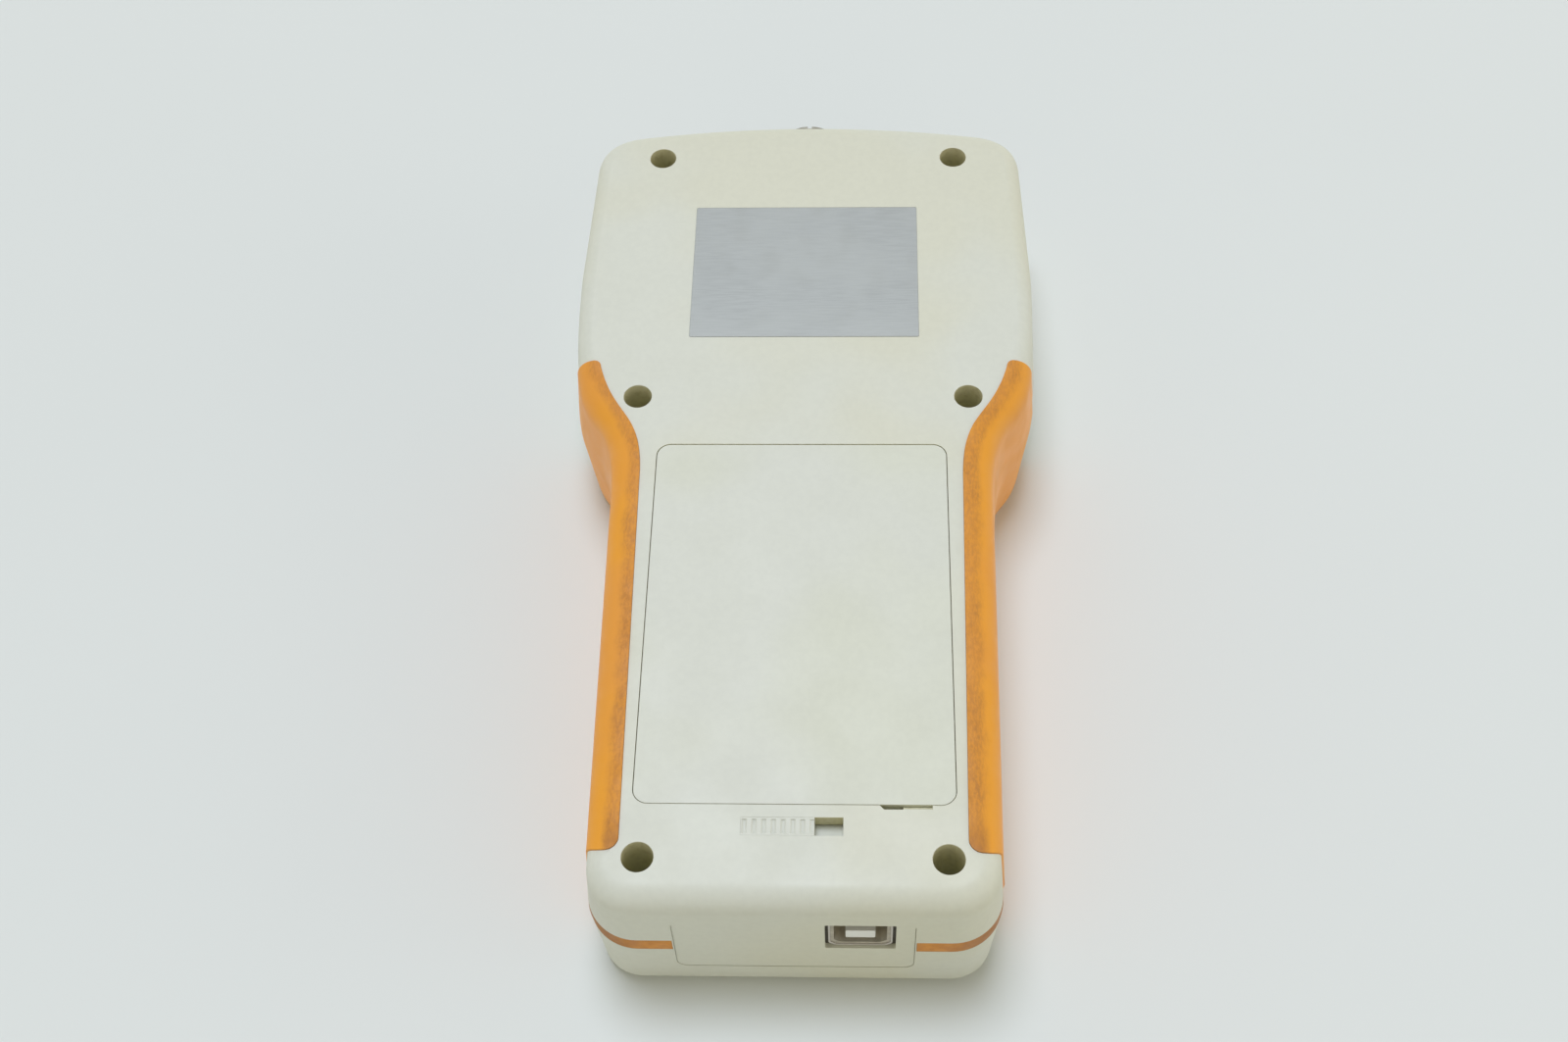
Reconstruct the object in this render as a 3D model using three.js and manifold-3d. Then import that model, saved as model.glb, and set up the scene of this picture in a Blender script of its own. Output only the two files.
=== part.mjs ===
// Handheld antenna analyzer: a two-part case with moulded side grips, a display and a keypad in
// front, a battery compartment with a latched door at the back and a socket at each end.
// Millimetres. The case lies on its front face: +Z is the back of the case, +Y points to the
// antenna socket and X = 0 is the middle plane. Inside this file Y = 0 is the bottom end face;
// the group at the end moves the origin to the middle of the whole length, on the table.
import * as THREE from "three";
import { mergeVertices } from "three/addons/utils/BufferGeometryUtils.js";
import Module from "manifold-3d";

// General
const gap = 0.3; // clearance between neighbouring pieces
const overrun = 1; // how far a cut runs past what it cuts
const weldShare = 1e-6; // of the case length: corners closer than this are one corner

// Case outline, seen from the back
const caseLength = 200; // bottom end face to the middle of the bowed head end
const caseThickness = 37;
const footHalfWidth = 39.5; // half widths at the parting plane, where the case is widest
const footCornerRadius = 10;
const waistHalfWidth = 40.6;
const headHalfWidth = 51.6;
const headTaper = 1.2; // each side of the head comes in by this much towards its end
const waistFromHead = 112; // distances from the head end
const shoulderFromHead = 48;
const headCornerLength = 16;
const headCornerWidth = 11.2;
const headBow = 3; // the end falls away by this much from its middle to the corners
const shoulderHandleShares = [0.58, 0.9]; // how long the shoulder curve stays straight
const headCornerHandleShares = [0.62, 0.62];
const quarterHandleShare = 0.5523; // handle of a quarter circle drawn as one curve

// Case edges and walls
const wallDraftShare = 0.0865; // the walls lean inwards by this share of the height from the parting plane
const footDraftShare = 0.02; // the foot's end face leans less
const endEdgeWidth = 5; // back edge in plan, lean and rounding together, round the head and the foot
const gripEdgeWidth = 7.1; // along the grips
const headEdgeWidth = 8; // and at the head end
const backEdgeHeight = 5.2;
const frontEdgeRadius = 2.5;
const shellWall = 2.4; // side wall behind the grips
const backWall = 2.5;
const frontRecess = 1.2; // the front face lies this far behind its rim
const frontWall = 2.2;
const cavityEdgeWidth = 4.9;
const cavityEdgeHeight = 5;
const edgeBlend = 6; // length over which the edge rounding changes

// Side grips with their parting strips
const gripThickness = 2.2;
const gripFootWidth = 7.3; // width of the grip seen from the back at its lower end
const gripLowY = 10.9;
const gripLowRise = 1.9; // the lower end rises by this much on the side
const gripCornerRadius = 2.5;
const gripBendFromHead = 106;
const gripTipFromHead = 74.5;
const gripTipInset = 7.9; // inner end of the tip, measured in from the head's side
const gripTipCorner = 1.3; // cut off the tip's inner corner
const gripHandleShares = [0.579, 0.608, 0.485]; // curve of the inner boundary
const stripHeight = 4;

// Case screws and their wells
const wellRadius = 3;
const wellWall = 1.8;
const wellFloor = 3;
const topScrewInset = 17.9; // measured in from the head's side
const topScrewFromHead = 14;
const middleScrewInset = 5.4; // from the waist's side
const middleScrewFromHead = 84.1;
const bottomScrewInset = 11; // from the foot's side
const bottomScrewY = 9.5;
const screwHeadRadius = 2.7;
const screwHeadHeight = 2;
const screwShankRadius = 1.5;
const screwLength = 12;
const bossWall = 2.3;

// End panels
const panelSideBorder = 16.85; // from the foot's side to the panel's opening
const panelHeight = 21.3;
const panelCornerRadius = 2;
const panelFlange = 1.6; // the flange in the groove is wider than the opening by this
const panelFlangeThickness = 1.5;
const panelFaceThickness = 1.1;
const panelSetback = 0.4; // the bottom panel's face lies this far inside the end face
const topPanelSetback = 2.4;
const panelLip = 1.3; // shell behind the flange

// Battery door, its hooks, its catch and the finger notch beside it
const doorLowY = 20.24;
const doorBorder = 1.9; // case between the opening and the grips
const doorPastCompartment = 9.8; // from the compartment up to the opening's upper end
const doorCornerRadius = 3;
const doorThickness = 2.2;
const doorLedge = 2.2; // shell under the door's rim
const hookX = 18;
const hookWidth = 8;
const hookReach = 2.7;
const hookThickness = 2;
const hookWeb = 2.5;
const doorSwing = 5.8; // room the hooks need below the axis when they swing
const catchFromMiddle = 7;
const catchWidth = 4;
const catchTab = 1.5;
const catchFoot = 3; // how far the foot reaches towards the latch
const catchFootThickness = 1.2;
const notchLowX = 15.8;
const notchHighX = 25.7;
const notchDepthY = 1.2;
const notchDepth = 1.6;
const notchSlant = 0.9;

// Latch slider
const latchSlotLowX = -9.8;
const latchSlotHighX = 9.2;
const latchSlotFromDoor = 2.54;
const latchSlotHeight = 3.7;
const latchTravel = 5;
const latchDepth = 3.3; // from the back face down to the slider's base plate
const latchPlateThickness = 1.4;
const latchPlateMargin = 1.4;
const latchTongueWidth = 4;
const latchShelf = 1.5; // shell under the slider
const latchRibCount = 8;
const latchRibPitch = 1.8;
const latchGrooveWidth = 0.8;
const latchGrooveDepth = 0.6;

// Battery compartment
const cellCount = 3;
const cellRadius = 7.25;
const cellLength = 49.5;
const cellNubRadius = 2.75;
const cellNubLength = 1;
const cellSpacing = 1;
const compartmentFromDoor = 9.76; // from the opening's lower end to the compartment
const compartmentWall = 1.5;
const compartmentFloor = 1.2;
const compartmentSide = 1.2; // room beside the outer cells
const dividerWidth = 1.2;
const dividerHeight = 4;
const springLength = 5.9;
const springWireRadius = 0.35;
const springBaseRadius = 4.5;
const springTipRadius = 2.4;
const springTurns = 3.5;
const plateThickness = 0.5;
const plateHalfWidth = 5;
const plateHalfHeight = 5.5;

// Rating label
const labelWidth = 50;
const labelHeight = 38;
const labelPlaceShare = 0.496; // its middle, on the way from the door to the head end
const labelThickness = 0.2;
const labelInset = 0.1; // the label lies in a recess this deep

// Front: overlay, display and keypad
const rimEnd = 6.5;
const rimGrip = 9.4;
const overlayThickness = 0.3;
const windowSideBorder = 21.6; // from the head's side to the window
const windowHeight = 45;
const displayFromHead = 48;
const lensRim = 3;
const lensThickness = 1.3;
const lensCorner = 1.5;
const lcdRim = 6;
const lcdThickness = 3.1;
const lcdBezel = 0.4;
const displayGap = 0.5;
const keyRows = 6;
const keyColumns = 3;
const keyPitchX = 19.5;
const keyLowY = 25; // middle of the lowest row
const keyFromDisplay = 64; // middle of the highest row below the middle of the display
const keyWidth = 14;
const keyHeightShare = 0.6; // of the distance between two rows
const keyCornerShare = 0.24; // of a key's height
const keyProud = 0.6;
const keyCrown = 0.5;
const keyFlange = 0.8;
const keyFlangeThickness = 1;
const keyStemHalf = 2;
const keyTravel = 0.5;
const domeSheetThickness = 0.3;
const domeHeight = 0.2;
const domeRadius = 3;
const domeSheetMargin = 5;

// Boards and what they carry
const boardThickness = 1.6;
const boardLowY = 15;
const boardFromHead = 19.5;
const boardGripInset = 6.5; // from the narrowest place along the grips
const boardHeadInset = 7.6; // from the head's side
const boardShoulderFromHead = 74;
const boardShoulderLength = 22;
const boardScrewLowY = 17.4;
const boardScrewInset = 5; // from the board's edge at the head
const boardScrewHighFromHead = 24;
const boardScrewRadius = 1;
const boardScrewHeadRadius = 2.2;
const boardScrewHeadHeight = 1.5;
const boardScrewLength = 5;
const boardPostRadius = 2.5;
const shieldHalfWidth = 17;
const shieldLength = 26;
const shieldFromHead = 27;
const shieldHeight = 3.5;
const shieldWall = 0.4;
const buzzerRadius = 6;
const buzzerHeight = 5;
const buzzerX = -22;
const buzzerFromHead = 66;
const linkWidth = 3;
const linkThickness = 0.6;
const linkFoot = 4;

// Antenna socket
const socketReach = 7; // its rim stands this far beyond the head end
const socketRadius = 7.9;
const threadPitch = 1.06;
const threadDepth = 0.55;
const socketBore = 5.9;
const socketMouthDepth = 8;
const socketShoulderRadius = 9.5;
const socketShoulder = 2;
const socketTail = 5;
const socketTailRadius = 7.2;
const rimNotchWidth = 1.8;
const rimNotchDepth = 1;
const rimNotchCount = 4;
const nutAcrossCorners = 20.6;
const nutThickness = 2.4;
const insulatorFlange = 2;
const contactRadius = 2.9;
const contactBore = 2.05;
const contactTail = 4;

// Square data socket and its board
const usbFromPanelSide = 10.25;
const usbZ = 22.35;
const usbWidth = 12.04;
const usbHeight = 10.3;
const usbSideGap = 0.6;
const usbLength = 16;
const usbWall = 0.4;
const usbChamfer = 2.2;
const usbSetback = 0.5; // behind the panel's face
const usbTongueWidth = 5.6;
const usbTongueHeight = 3.2;
const usbTongueDrop = 0.2; // middle of the tongue below the middle of the socket
const usbTongueSetback = 1;
const usbBase = 4;
const usbBoardMargin = 3.5;
const usbPostRadius = 1.8;
const usbPostX = 7;

// Numbers of flat steps on curved faces
const curveSteps = 7;
const edgeSteps = 3;
const frontEdgeSteps = 2;
const roundSides = 16;
const smallSides = 10;
const socketSides = 20;
const springSides = 5;
const springStepsPerTurn = 8;
const cornerSteps = 3;

// Heights worked out from the sizes above
const partingZ = caseThickness / 2;
const wallInnerZ = frontRecess + frontWall;
const boardFrontZ = wallInnerZ + displayGap + lcdThickness;
const boardBackZ = boardFrontZ + boardThickness;
const doorInnerZ = caseThickness - doorThickness;
const cellZ = doorInnerZ - gap - cellRadius;
const compartmentFloorZ = cellZ - cellRadius - gap;
const backInnerZ = caseThickness - backWall;
const ledgeZ = doorInnerZ - gap - doorLedge;
const gripDepth = gripThickness + gap;
const cavityDepth = gripDepth + shellWall;
const tipY = caseLength + socketReach;

// Places worked out from the sizes above
const headEndHalfWidth = headHalfWidth - headTaper;
const bendX = waistHalfWidth - gripEdgeWidth;
const gripFootX = footHalfWidth - gripFootWidth;
const cellSpan = cellLength + cellNubLength;
const compartmentLowY = doorLowY + compartmentFromDoor;
const cellLowY = compartmentLowY + gap + springLength + gap;
const cellHighY = cellLowY + cellSpan;
const compartmentHighY = cellHighY + gap + springLength + gap;
const doorHighY = compartmentHighY + doorPastCompartment;
const doorHalfWidth = Math.min(bendX, gripFootX) - doorBorder; // of the opening
const axisY = doorHighY - gap; // the door turns about its own top edge
const latchSlotHighY = doorLowY - latchSlotFromDoor;
const latchSlotLowY = latchSlotHighY - latchSlotHeight;
const labelY = doorHighY + labelPlaceShare * (caseLength - doorHighY);
const windowWidth = 2 * (headHalfWidth - windowSideBorder);
const displayY = caseLength - displayFromHead;
const keyPitchY = (displayY - keyFromDisplay - keyLowY) / (keyRows - 1);
const keyHeight = keyPitchY * keyHeightShare;
const keyCorner = keyHeight * keyCornerShare;
const boardWaistHalfWidth = Math.min(waistHalfWidth, footHalfWidth) - boardGripInset;
const boardHeadHalfWidth = headHalfWidth - boardHeadInset;
const boardScrewHeadX = boardHeadHalfWidth - boardScrewInset;
const panelHalfWidth = footHalfWidth - panelSideBorder;
const usbX = panelHalfWidth - usbFromPanelSide;

const wasm = await Module();
wasm.setup();

// Solids from three.js geometry, and back

function toSolid(geometry) {
  const bare = geometry.clone();
  for (const name of ["normal", "uv"]) bare.deleteAttribute(name);
  const merged = mergeVertices(bare, weldShare * caseLength);
  const corners = merged.index.array;
  const kept = [];
  for (let i = 0; i < corners.length; i += 3) {
    const [a, b, c] = corners.slice(i, i + 3);
    if (a !== b && b !== c && c !== a) kept.push(a, b, c);
  }
  return new wasm.Manifold(
    new wasm.Mesh({
      numProp: 3,
      vertProperties: Float32Array.from(merged.attributes.position.array),
      triVerts: Uint32Array.from(kept),
    }),
  );
}

function toGeometry(solid) {
  const made = solid.getMesh();
  const geometry = new THREE.BufferGeometry();
  geometry.setAttribute("position", new THREE.BufferAttribute(made.vertProperties, 3));
  geometry.setIndex(new THREE.BufferAttribute(made.triVerts, 1));
  const faceted = geometry.toNonIndexed();
  faceted.computeVertexNormals();
  return faceted;
}

const union = (solids) => solids.reduce((all, one) => all.add(one));

// Building shapes

function block(lowX, highX, lowY, highY, lowZ, highZ) {
  const box = new THREE.BoxGeometry(highX - lowX, highY - lowY, highZ - lowZ);
  box.translate((lowX + highX) / 2, (lowY + highY) / 2, (lowZ + highZ) / 2);
  return toSolid(box);
}

function extrude(shape, lowZ, highZ) {
  const made = new THREE.ExtrudeGeometry(shape, {
    depth: highZ - lowZ,
    bevelEnabled: false,
    curveSegments: cornerSteps,
  });
  return toSolid(made.translate(0, 0, lowZ));
}

// The shape's own X and Y become the part's X and Z.
function extrudeAlongY(shape, lowY, highY) {
  const made = new THREE.ExtrudeGeometry(shape, {
    depth: highY - lowY,
    bevelEnabled: false,
    curveSegments: cornerSteps,
  });
  made.translate(0, 0, -highY);
  return toSolid(made.rotateX(Math.PI / 2));
}

function rectangle(middleX, middleY, halfX, halfY, radius) {
  const shape = new THREE.Shape();
  const lowX = middleX - halfX;
  const highX = middleX + halfX;
  const lowY = middleY - halfY;
  const highY = middleY + halfY;
  shape.moveTo(lowX + radius, lowY);
  shape.lineTo(highX - radius, lowY);
  shape.quadraticCurveTo(highX, lowY, highX, lowY + radius);
  shape.lineTo(highX, highY - radius);
  shape.quadraticCurveTo(highX, highY, highX - radius, highY);
  shape.lineTo(lowX + radius, highY);
  shape.quadraticCurveTo(lowX, highY, lowX, highY - radius);
  shape.lineTo(lowX, lowY + radius);
  shape.quadraticCurveTo(lowX, lowY, lowX + radius, lowY);
  return shape;
}

function rod(x, y, radius, lowZ, highZ, sides = roundSides) {
  const made = new THREE.CylinderGeometry(radius, radius, highZ - lowZ, sides);
  made.rotateX(Math.PI / 2);
  return toSolid(made.translate(x, y, (lowZ + highZ) / 2));
}

// A profile of [radius, y] pairs turned about the line through (x, z) along Y.
function turned(profile, x, z, sides = roundSides) {
  const points = profile.map(([radius, y]) => new THREE.Vector2(radius, y));
  const made = new THREE.LatheGeometry(points, sides);
  return toSolid(made.translate(x, 0, z));
}

// A closed solid through rings that have the same number of points, lowest ring first.
function loft(rings) {
  const count = rings[0].length;
  const corners = rings.flat().flatMap((p) => [p.x, p.y, p.z]);
  const index = [];
  for (let level = 0; level + 1 < rings.length; level += 1) {
    for (let i = 0; i < count; i += 1) {
      const next = (i + 1) % count;
      const a = level * count + i;
      const b = level * count + next;
      index.push(a, b, b + count, a, b + count, a + count);
    }
  }
  const flat = (ring) => ring.map((p) => new THREE.Vector2(p.x, p.y));
  const cap = (ring) => THREE.ShapeUtils.triangulateShape(flat(ring), []);
  const top = (rings.length - 1) * count;
  for (const [a, b, c] of cap(rings[0])) index.push(a, c, b);
  for (const [a, b, c] of cap(rings.at(-1))) index.push(top + a, top + b, top + c);
  const geometry = new THREE.BufferGeometry();
  geometry.setAttribute("position", new THREE.Float32BufferAttribute(corners, 3));
  geometry.setIndex(index);
  return toSolid(geometry);
}

const atHeight = (points, z) => points.map((p) => new THREE.Vector3(p.x, p.y, z));

// Moves each point of a closed outline inwards by its own amount, square to its two edges.
function inset(points, amountAt) {
  return points.map((p, i) => {
    const before = points.at(i - 1);
    const after = points[(i + 1) % points.length];
    const first = new THREE.Vector2(p.y - before.y, before.x - p.x).normalize();
    const second = new THREE.Vector2(after.y - p.y, p.x - after.x).normalize();
    const outwards = first.clone().add(second).normalize();
    const reach = amountAt(p) / outwards.dot(first);
    return new THREE.Vector2(p.x - outwards.x * reach, p.y - outwards.y * reach);
  });
}

// The case outline

const smooth = (value, low, high) => THREE.MathUtils.smoothstep(value, low, high);

const waistY = caseLength - waistFromHead;
const shoulderY = caseLength - shoulderFromHead;
const gripTipY = caseLength - gripTipFromHead;

function caseOutline() {
  const path = new THREE.Path();
  const cornerX = footHalfWidth - footCornerRadius;
  const handle = footCornerRadius * (1 - quarterHandleShare);
  const rise = shoulderY - waistY;
  const [lowShare, highShare] = shoulderHandleShares;
  const headSideY = caseLength - headCornerLength;
  const headEndX = headEndHalfWidth - headCornerWidth;
  const headEndY = caseLength - headBow;
  const [sideShare, endShare] = headCornerHandleShares;
  path.moveTo(0, 0);
  path.lineTo(cornerX, 0);
  path.bezierCurveTo(
    footHalfWidth - handle, 0, footHalfWidth, handle, footHalfWidth, footCornerRadius,
  );
  path.lineTo(footHalfWidth, footCornerRadius + edgeBlend);
  path.lineTo(waistHalfWidth, waistY);
  path.bezierCurveTo(
    waistHalfWidth, waistY + lowShare * rise,
    headHalfWidth, shoulderY - highShare * rise,
    headHalfWidth, shoulderY,
  );
  path.lineTo(headEndHalfWidth, headSideY);
  path.bezierCurveTo(
    headEndHalfWidth, headSideY + sideShare * (headEndY - headSideY),
    headEndX + endShare * headCornerWidth, headEndY - headBow * (1 - endShare),
    headEndX, headEndY,
  );
  path.quadraticCurveTo(headEndX / 2, caseLength, 0, caseLength);
  const right = path.getPoints(curveSteps);
  const left = right.slice(1, -1).reverse();
  return [...right, ...left.map((p) => new THREE.Vector2(-p.x, p.y))];
}

const outline = caseOutline();

// 1 along the grips, 0 at both ends of the case
function gripShareAt(y) {
  const start = smooth(y, gripLowY - edgeBlend / 2, gripLowY + edgeBlend / 2);
  const end = 1 - smooth(y, gripTipY - 2 * edgeBlend, gripTipY + edgeBlend);
  return start * end;
}

// How far the leaning wall has come in at a height.
function draftAt(y, z) {
  const share = footDraftShare + (wallDraftShare - footDraftShare) * smooth(y, 0, footCornerRadius);
  return share * Math.abs(z - partingZ);
}

// The case's outer form with every face moved inwards by the depths given.
function caseSkin(side, front, back, edgeWidthAt, edgeHeight) {
  const rings = [];
  const addRing = (z, amountAt) => rings.push(atHeight(inset(outline, amountAt), z));
  const radius = Math.max(frontEdgeRadius - front, front > 0 ? gap : frontEdgeRadius);
  const frontEdgeZ = front + radius;
  for (let step = 0; step <= frontEdgeSteps; step += 1) {
    const turn = (Math.PI / 2) * (step / frontEdgeSteps);
    const cornerInset = side + radius * (1 - Math.sin(turn));
    addRing(frontEdgeZ - radius * Math.cos(turn), ({ y }) => cornerInset + draftAt(y, frontEdgeZ));
  }
  addRing(partingZ, () => side);
  const backEdgeZ = caseThickness - back - edgeHeight;
  for (let step = 0; step <= edgeSteps; step += 1) {
    const turn = (Math.PI / 2) * (step / edgeSteps);
    addRing(backEdgeZ + edgeHeight * Math.sin(turn), ({ y }) => {
      const draft = draftAt(y, backEdgeZ);
      return side + draft + (edgeWidthAt(y) - draft) * (1 - Math.cos(turn));
    });
  }
  return loft(rings);
}

function backEdgeWidthAt(y) {
  const alongGrip = (gripEdgeWidth - endEdgeWidth) * gripShareAt(y);
  const atHeadEnd = smooth(y, caseLength - headCornerLength, caseLength - headBow);
  return endEdgeWidth + alongGrip + (headEdgeWidth - endEdgeWidth) * atHeadEnd;
}

const caseForm = caseSkin(0, 0, 0, backEdgeWidthAt, backEdgeHeight);
const coreForm = caseSkin(
  gripDepth,
  gripDepth,
  gripDepth,
  (y) => backEdgeWidthAt(y) - gripDepth,
  backEdgeHeight - gripDepth,
);
const cavityForm = caseSkin(
  cavityDepth,
  wallInnerZ,
  backWall,
  () => cavityEdgeWidth,
  cavityEdgeHeight,
);

const halfSpace = (lowZ, highZ) =>
  block(
    -headHalfWidth - overrun,
    headHalfWidth + overrun,
    -overrun,
    caseLength + overrun,
    lowZ,
    highZ,
  );
const upperSpace = halfSpace(partingZ, caseThickness + overrun);
const lowerSpace = halfSpace(-overrun, partingZ);

const mirrored = (solid) => solid.mirror([1, 0, 0]);

// Side grips

const outsideX = headHalfWidth + overrun;

function gripZone(grow) {
  const path = new THREE.Path();
  const bendY = caseLength - gripBendFromHead;
  const tipX = headHalfWidth - gripTipInset;
  const cornerCut = gripCornerRadius * (1 - Math.SQRT1_2);
  const [lowShare, highShareX, highShareY] = gripHandleShares;
  const sideLowY = gripLowY + gripLowRise;
  path.moveTo(outsideX, sideLowY);
  path.lineTo(outsideX, gripTipY);
  path.lineTo(tipX + gripTipCorner, gripTipY);
  path.lineTo(tipX, gripTipY - gripTipCorner);
  path.bezierCurveTo(
    bendX + highShareX * (tipX - bendX), bendY + highShareY * (gripTipY - bendY),
    bendX, bendY + lowShare * (gripTipY - bendY),
    bendX, bendY,
  );
  path.lineTo(gripFootX, gripLowY + gripCornerRadius);
  path.lineTo(gripFootX + cornerCut, gripLowY + cornerCut);
  path.lineTo(gripFootX + gripCornerRadius, gripLowY);
  path.lineTo(footHalfWidth, sideLowY);
  const points = path.getPoints(curveSteps);
  const grown = inset(points, () => -grow);
  const lowZ = -overrun;
  const highZ = caseThickness + overrun;
  const side = loft([atHeight(grown, lowZ), atHeight(grown, highZ)]);
  const strip = block(
    panelHalfWidth - grow + gap,
    outsideX,
    -overrun,
    caseLength + overrun,
    partingZ - stripHeight / 2 - grow,
    partingZ + stripHeight / 2 + grow,
  );
  return side.add(strip);
}

const rightRebate = gripZone(gap).subtract(coreForm);
const rebates = rightRebate.add(mirrored(rightRebate));

const gripSkin = caseForm.subtract(
  caseSkin(
    gripThickness,
    gripThickness,
    gripThickness,
    (y) => backEdgeWidthAt(y) - gripThickness,
    backEdgeHeight - gripThickness,
  ),
);

// Case screws

const screwPlaces = [
  [headHalfWidth - topScrewInset, caseLength - topScrewFromHead],
  [waistHalfWidth - middleScrewInset, caseLength - middleScrewFromHead],
  [footHalfWidth - bottomScrewInset, bottomScrewY],
].flatMap(([x, y]) => [
  [-x, y],
  [x, y],
]);
const wellFloorZ = partingZ + wellFloor;
const screwHoleRadius = screwShankRadius + gap;

function caseScrew([x, y]) {
  const head = rod(x, y, screwHeadRadius, wellFloorZ, wellFloorZ + screwHeadHeight, smallSides);
  const shank = rod(x, y, screwShankRadius, wellFloorZ - screwLength, wellFloorZ + overrun, smallSides);
  return head.add(shank);
}

// End panels: a flange held in a groove of both shells, and a raised face in the opening.

const panelZ = partingZ;
const bottomPanel = { faceY: panelSetback, inwards: 1 };
const topPanel = { faceY: caseLength - topPanelSetback, inwards: -1 };

function panelLayer({ faceY, inwards }, from, to, grow) {
  const shape = rectangle(
    0,
    panelZ,
    panelHalfWidth + grow,
    panelHeight / 2 + grow,
    panelCornerRadius,
  );
  const ends = [faceY + inwards * from, faceY + inwards * to].sort((a, b) => a - b);
  return extrudeAlongY(shape, ...ends);
}

const panelBackDepth = panelFaceThickness + panelFlangeThickness;

function panel(place) {
  const face = panelLayer(place, 0, panelFaceThickness, -gap / 2);
  const flange = panelLayer(place, panelFaceThickness, panelBackDepth, panelFlange);
  return face.add(flange);
}

function panelRecess(place) {
  const fullDepth = panelBackDepth + panelLip + overrun;
  const through = panelLayer(place, -topPanelSetback - overrun, fullDepth, gap / 2);
  const grooveFrom = panelFaceThickness - gap / 2;
  const groove = panelLayer(place, grooveFrom, panelBackDepth + gap / 2, panelFlange + gap);
  return through.add(groove);
}

function panelFrame(place) {
  const margin = panelFlange + gap + panelLip;
  return panelLayer(place, -topPanelSetback, panelBackDepth + panelLip, margin).intersect(coreForm);
}

// A grip's strip stops at the panels.
const rightGrip = gripSkin
  .intersect(gripZone(0))
  .subtract(panelRecess(bottomPanel))
  .subtract(panelRecess(topPanel));

// Battery compartment

const cellPitch = 2 * cellRadius + cellSpacing;
const compartmentHalfWidth = (cellPitch * (cellCount - 1)) / 2 + cellRadius + compartmentSide;
const middleCell = (cellCount - 1) / 2;
const cellXs = Array.from({ length: cellCount }, (_, i) => (i - middleCell) * cellPitch);

function compartmentBox() {
  return block(
    -compartmentHalfWidth - compartmentWall,
    compartmentHalfWidth + compartmentWall,
    compartmentLowY - compartmentWall,
    compartmentHighY + compartmentWall,
    compartmentFloorZ - compartmentFloor,
    backInnerZ + overrun,
  );
}

function compartmentHollow() {
  const hollow = block(
    -compartmentHalfWidth,
    compartmentHalfWidth,
    compartmentLowY,
    compartmentHighY,
    compartmentFloorZ,
    caseThickness + overrun,
  );
  const dividers = cellXs.slice(1).map((x) =>
    block(
      x - cellPitch / 2 - dividerWidth / 2,
      x - cellPitch / 2 + dividerWidth / 2,
      cellLowY + springLength,
      cellHighY - springLength,
      compartmentFloorZ - overrun,
      compartmentFloorZ + dividerHeight,
    ),
  );
  return hollow.subtract(union(dividers));
}

// Each second cell lies the other way round, so its spring is at the other end.
const isTurned = (i) => i % 2 === 1;
const flipY = (solid) =>
  solid.mirror([0, 1, 0]).translate([0, compartmentLowY + compartmentHighY, 0]);

function batteryCell(x) {
  const top = cellLowY + cellLength;
  return turned(
    [
      [0, cellLowY],
      [cellRadius, cellLowY],
      [cellRadius, top],
      [cellNubRadius, top],
      [cellNubRadius, top + cellNubLength],
      [0, top + cellNubLength],
    ],
    x,
    cellZ,
  );
}

function batterySpring(x) {
  const steps = springTurns * springStepsPerTurn;
  const lowY = compartmentLowY + gap + springWireRadius;
  const rise = springLength - 2 * springWireRadius;
  const points = Array.from({ length: steps + 1 }, (_, i) => {
    const share = i / steps;
    const turn = 2 * Math.PI * springTurns * share;
    const radius = springBaseRadius + (springTipRadius - springBaseRadius) * share;
    return new THREE.Vector3(
      x + radius * Math.cos(turn),
      lowY + rise * share,
      cellZ + radius * Math.sin(turn),
    );
  });
  const wire = new THREE.Shape(
    Array.from({ length: springSides }, (_, i) => {
      const turn = (2 * Math.PI * i) / springSides;
      return new THREE.Vector2(Math.cos(turn), Math.sin(turn)).multiplyScalar(springWireRadius);
    }),
  );
  return toSolid(
    new THREE.ExtrudeGeometry(wire, {
      steps,
      extrudePath: new THREE.CatmullRomCurve3(points),
      bevelEnabled: false,
    }),
  );
}

function batteryPlate(x) {
  const highY = compartmentHighY - gap;
  const lowY = cellHighY + gap;
  const plate = block(
    x - plateHalfWidth,
    x + plateHalfWidth,
    highY - plateThickness,
    highY,
    cellZ - plateHalfHeight,
    cellZ + plateHalfHeight,
  );
  const stud = turned(
    [
      [0, lowY],
      [cellNubRadius, lowY],
      [cellNubRadius, highY - plateThickness / 2],
      [0, highY - plateThickness / 2],
    ],
    x,
    cellZ,
    smallSides,
  );
  return plate.add(stud);
}

// Battery door

const doorMiddleY = (doorLowY + doorHighY) / 2;
const doorHalfLength = (doorHighY - doorLowY) / 2;
const hookTopZ = backInnerZ - gap;
const catchTopZ = caseThickness - latchDepth - latchPlateThickness - gap;
const catchLowZ = catchTopZ - catchFootThickness;
const catchLowY = doorLowY + gap + gap;
const catchLowX = catchFromMiddle - catchWidth / 2;
const catchHighX = catchFromMiddle + catchWidth / 2;

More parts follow.
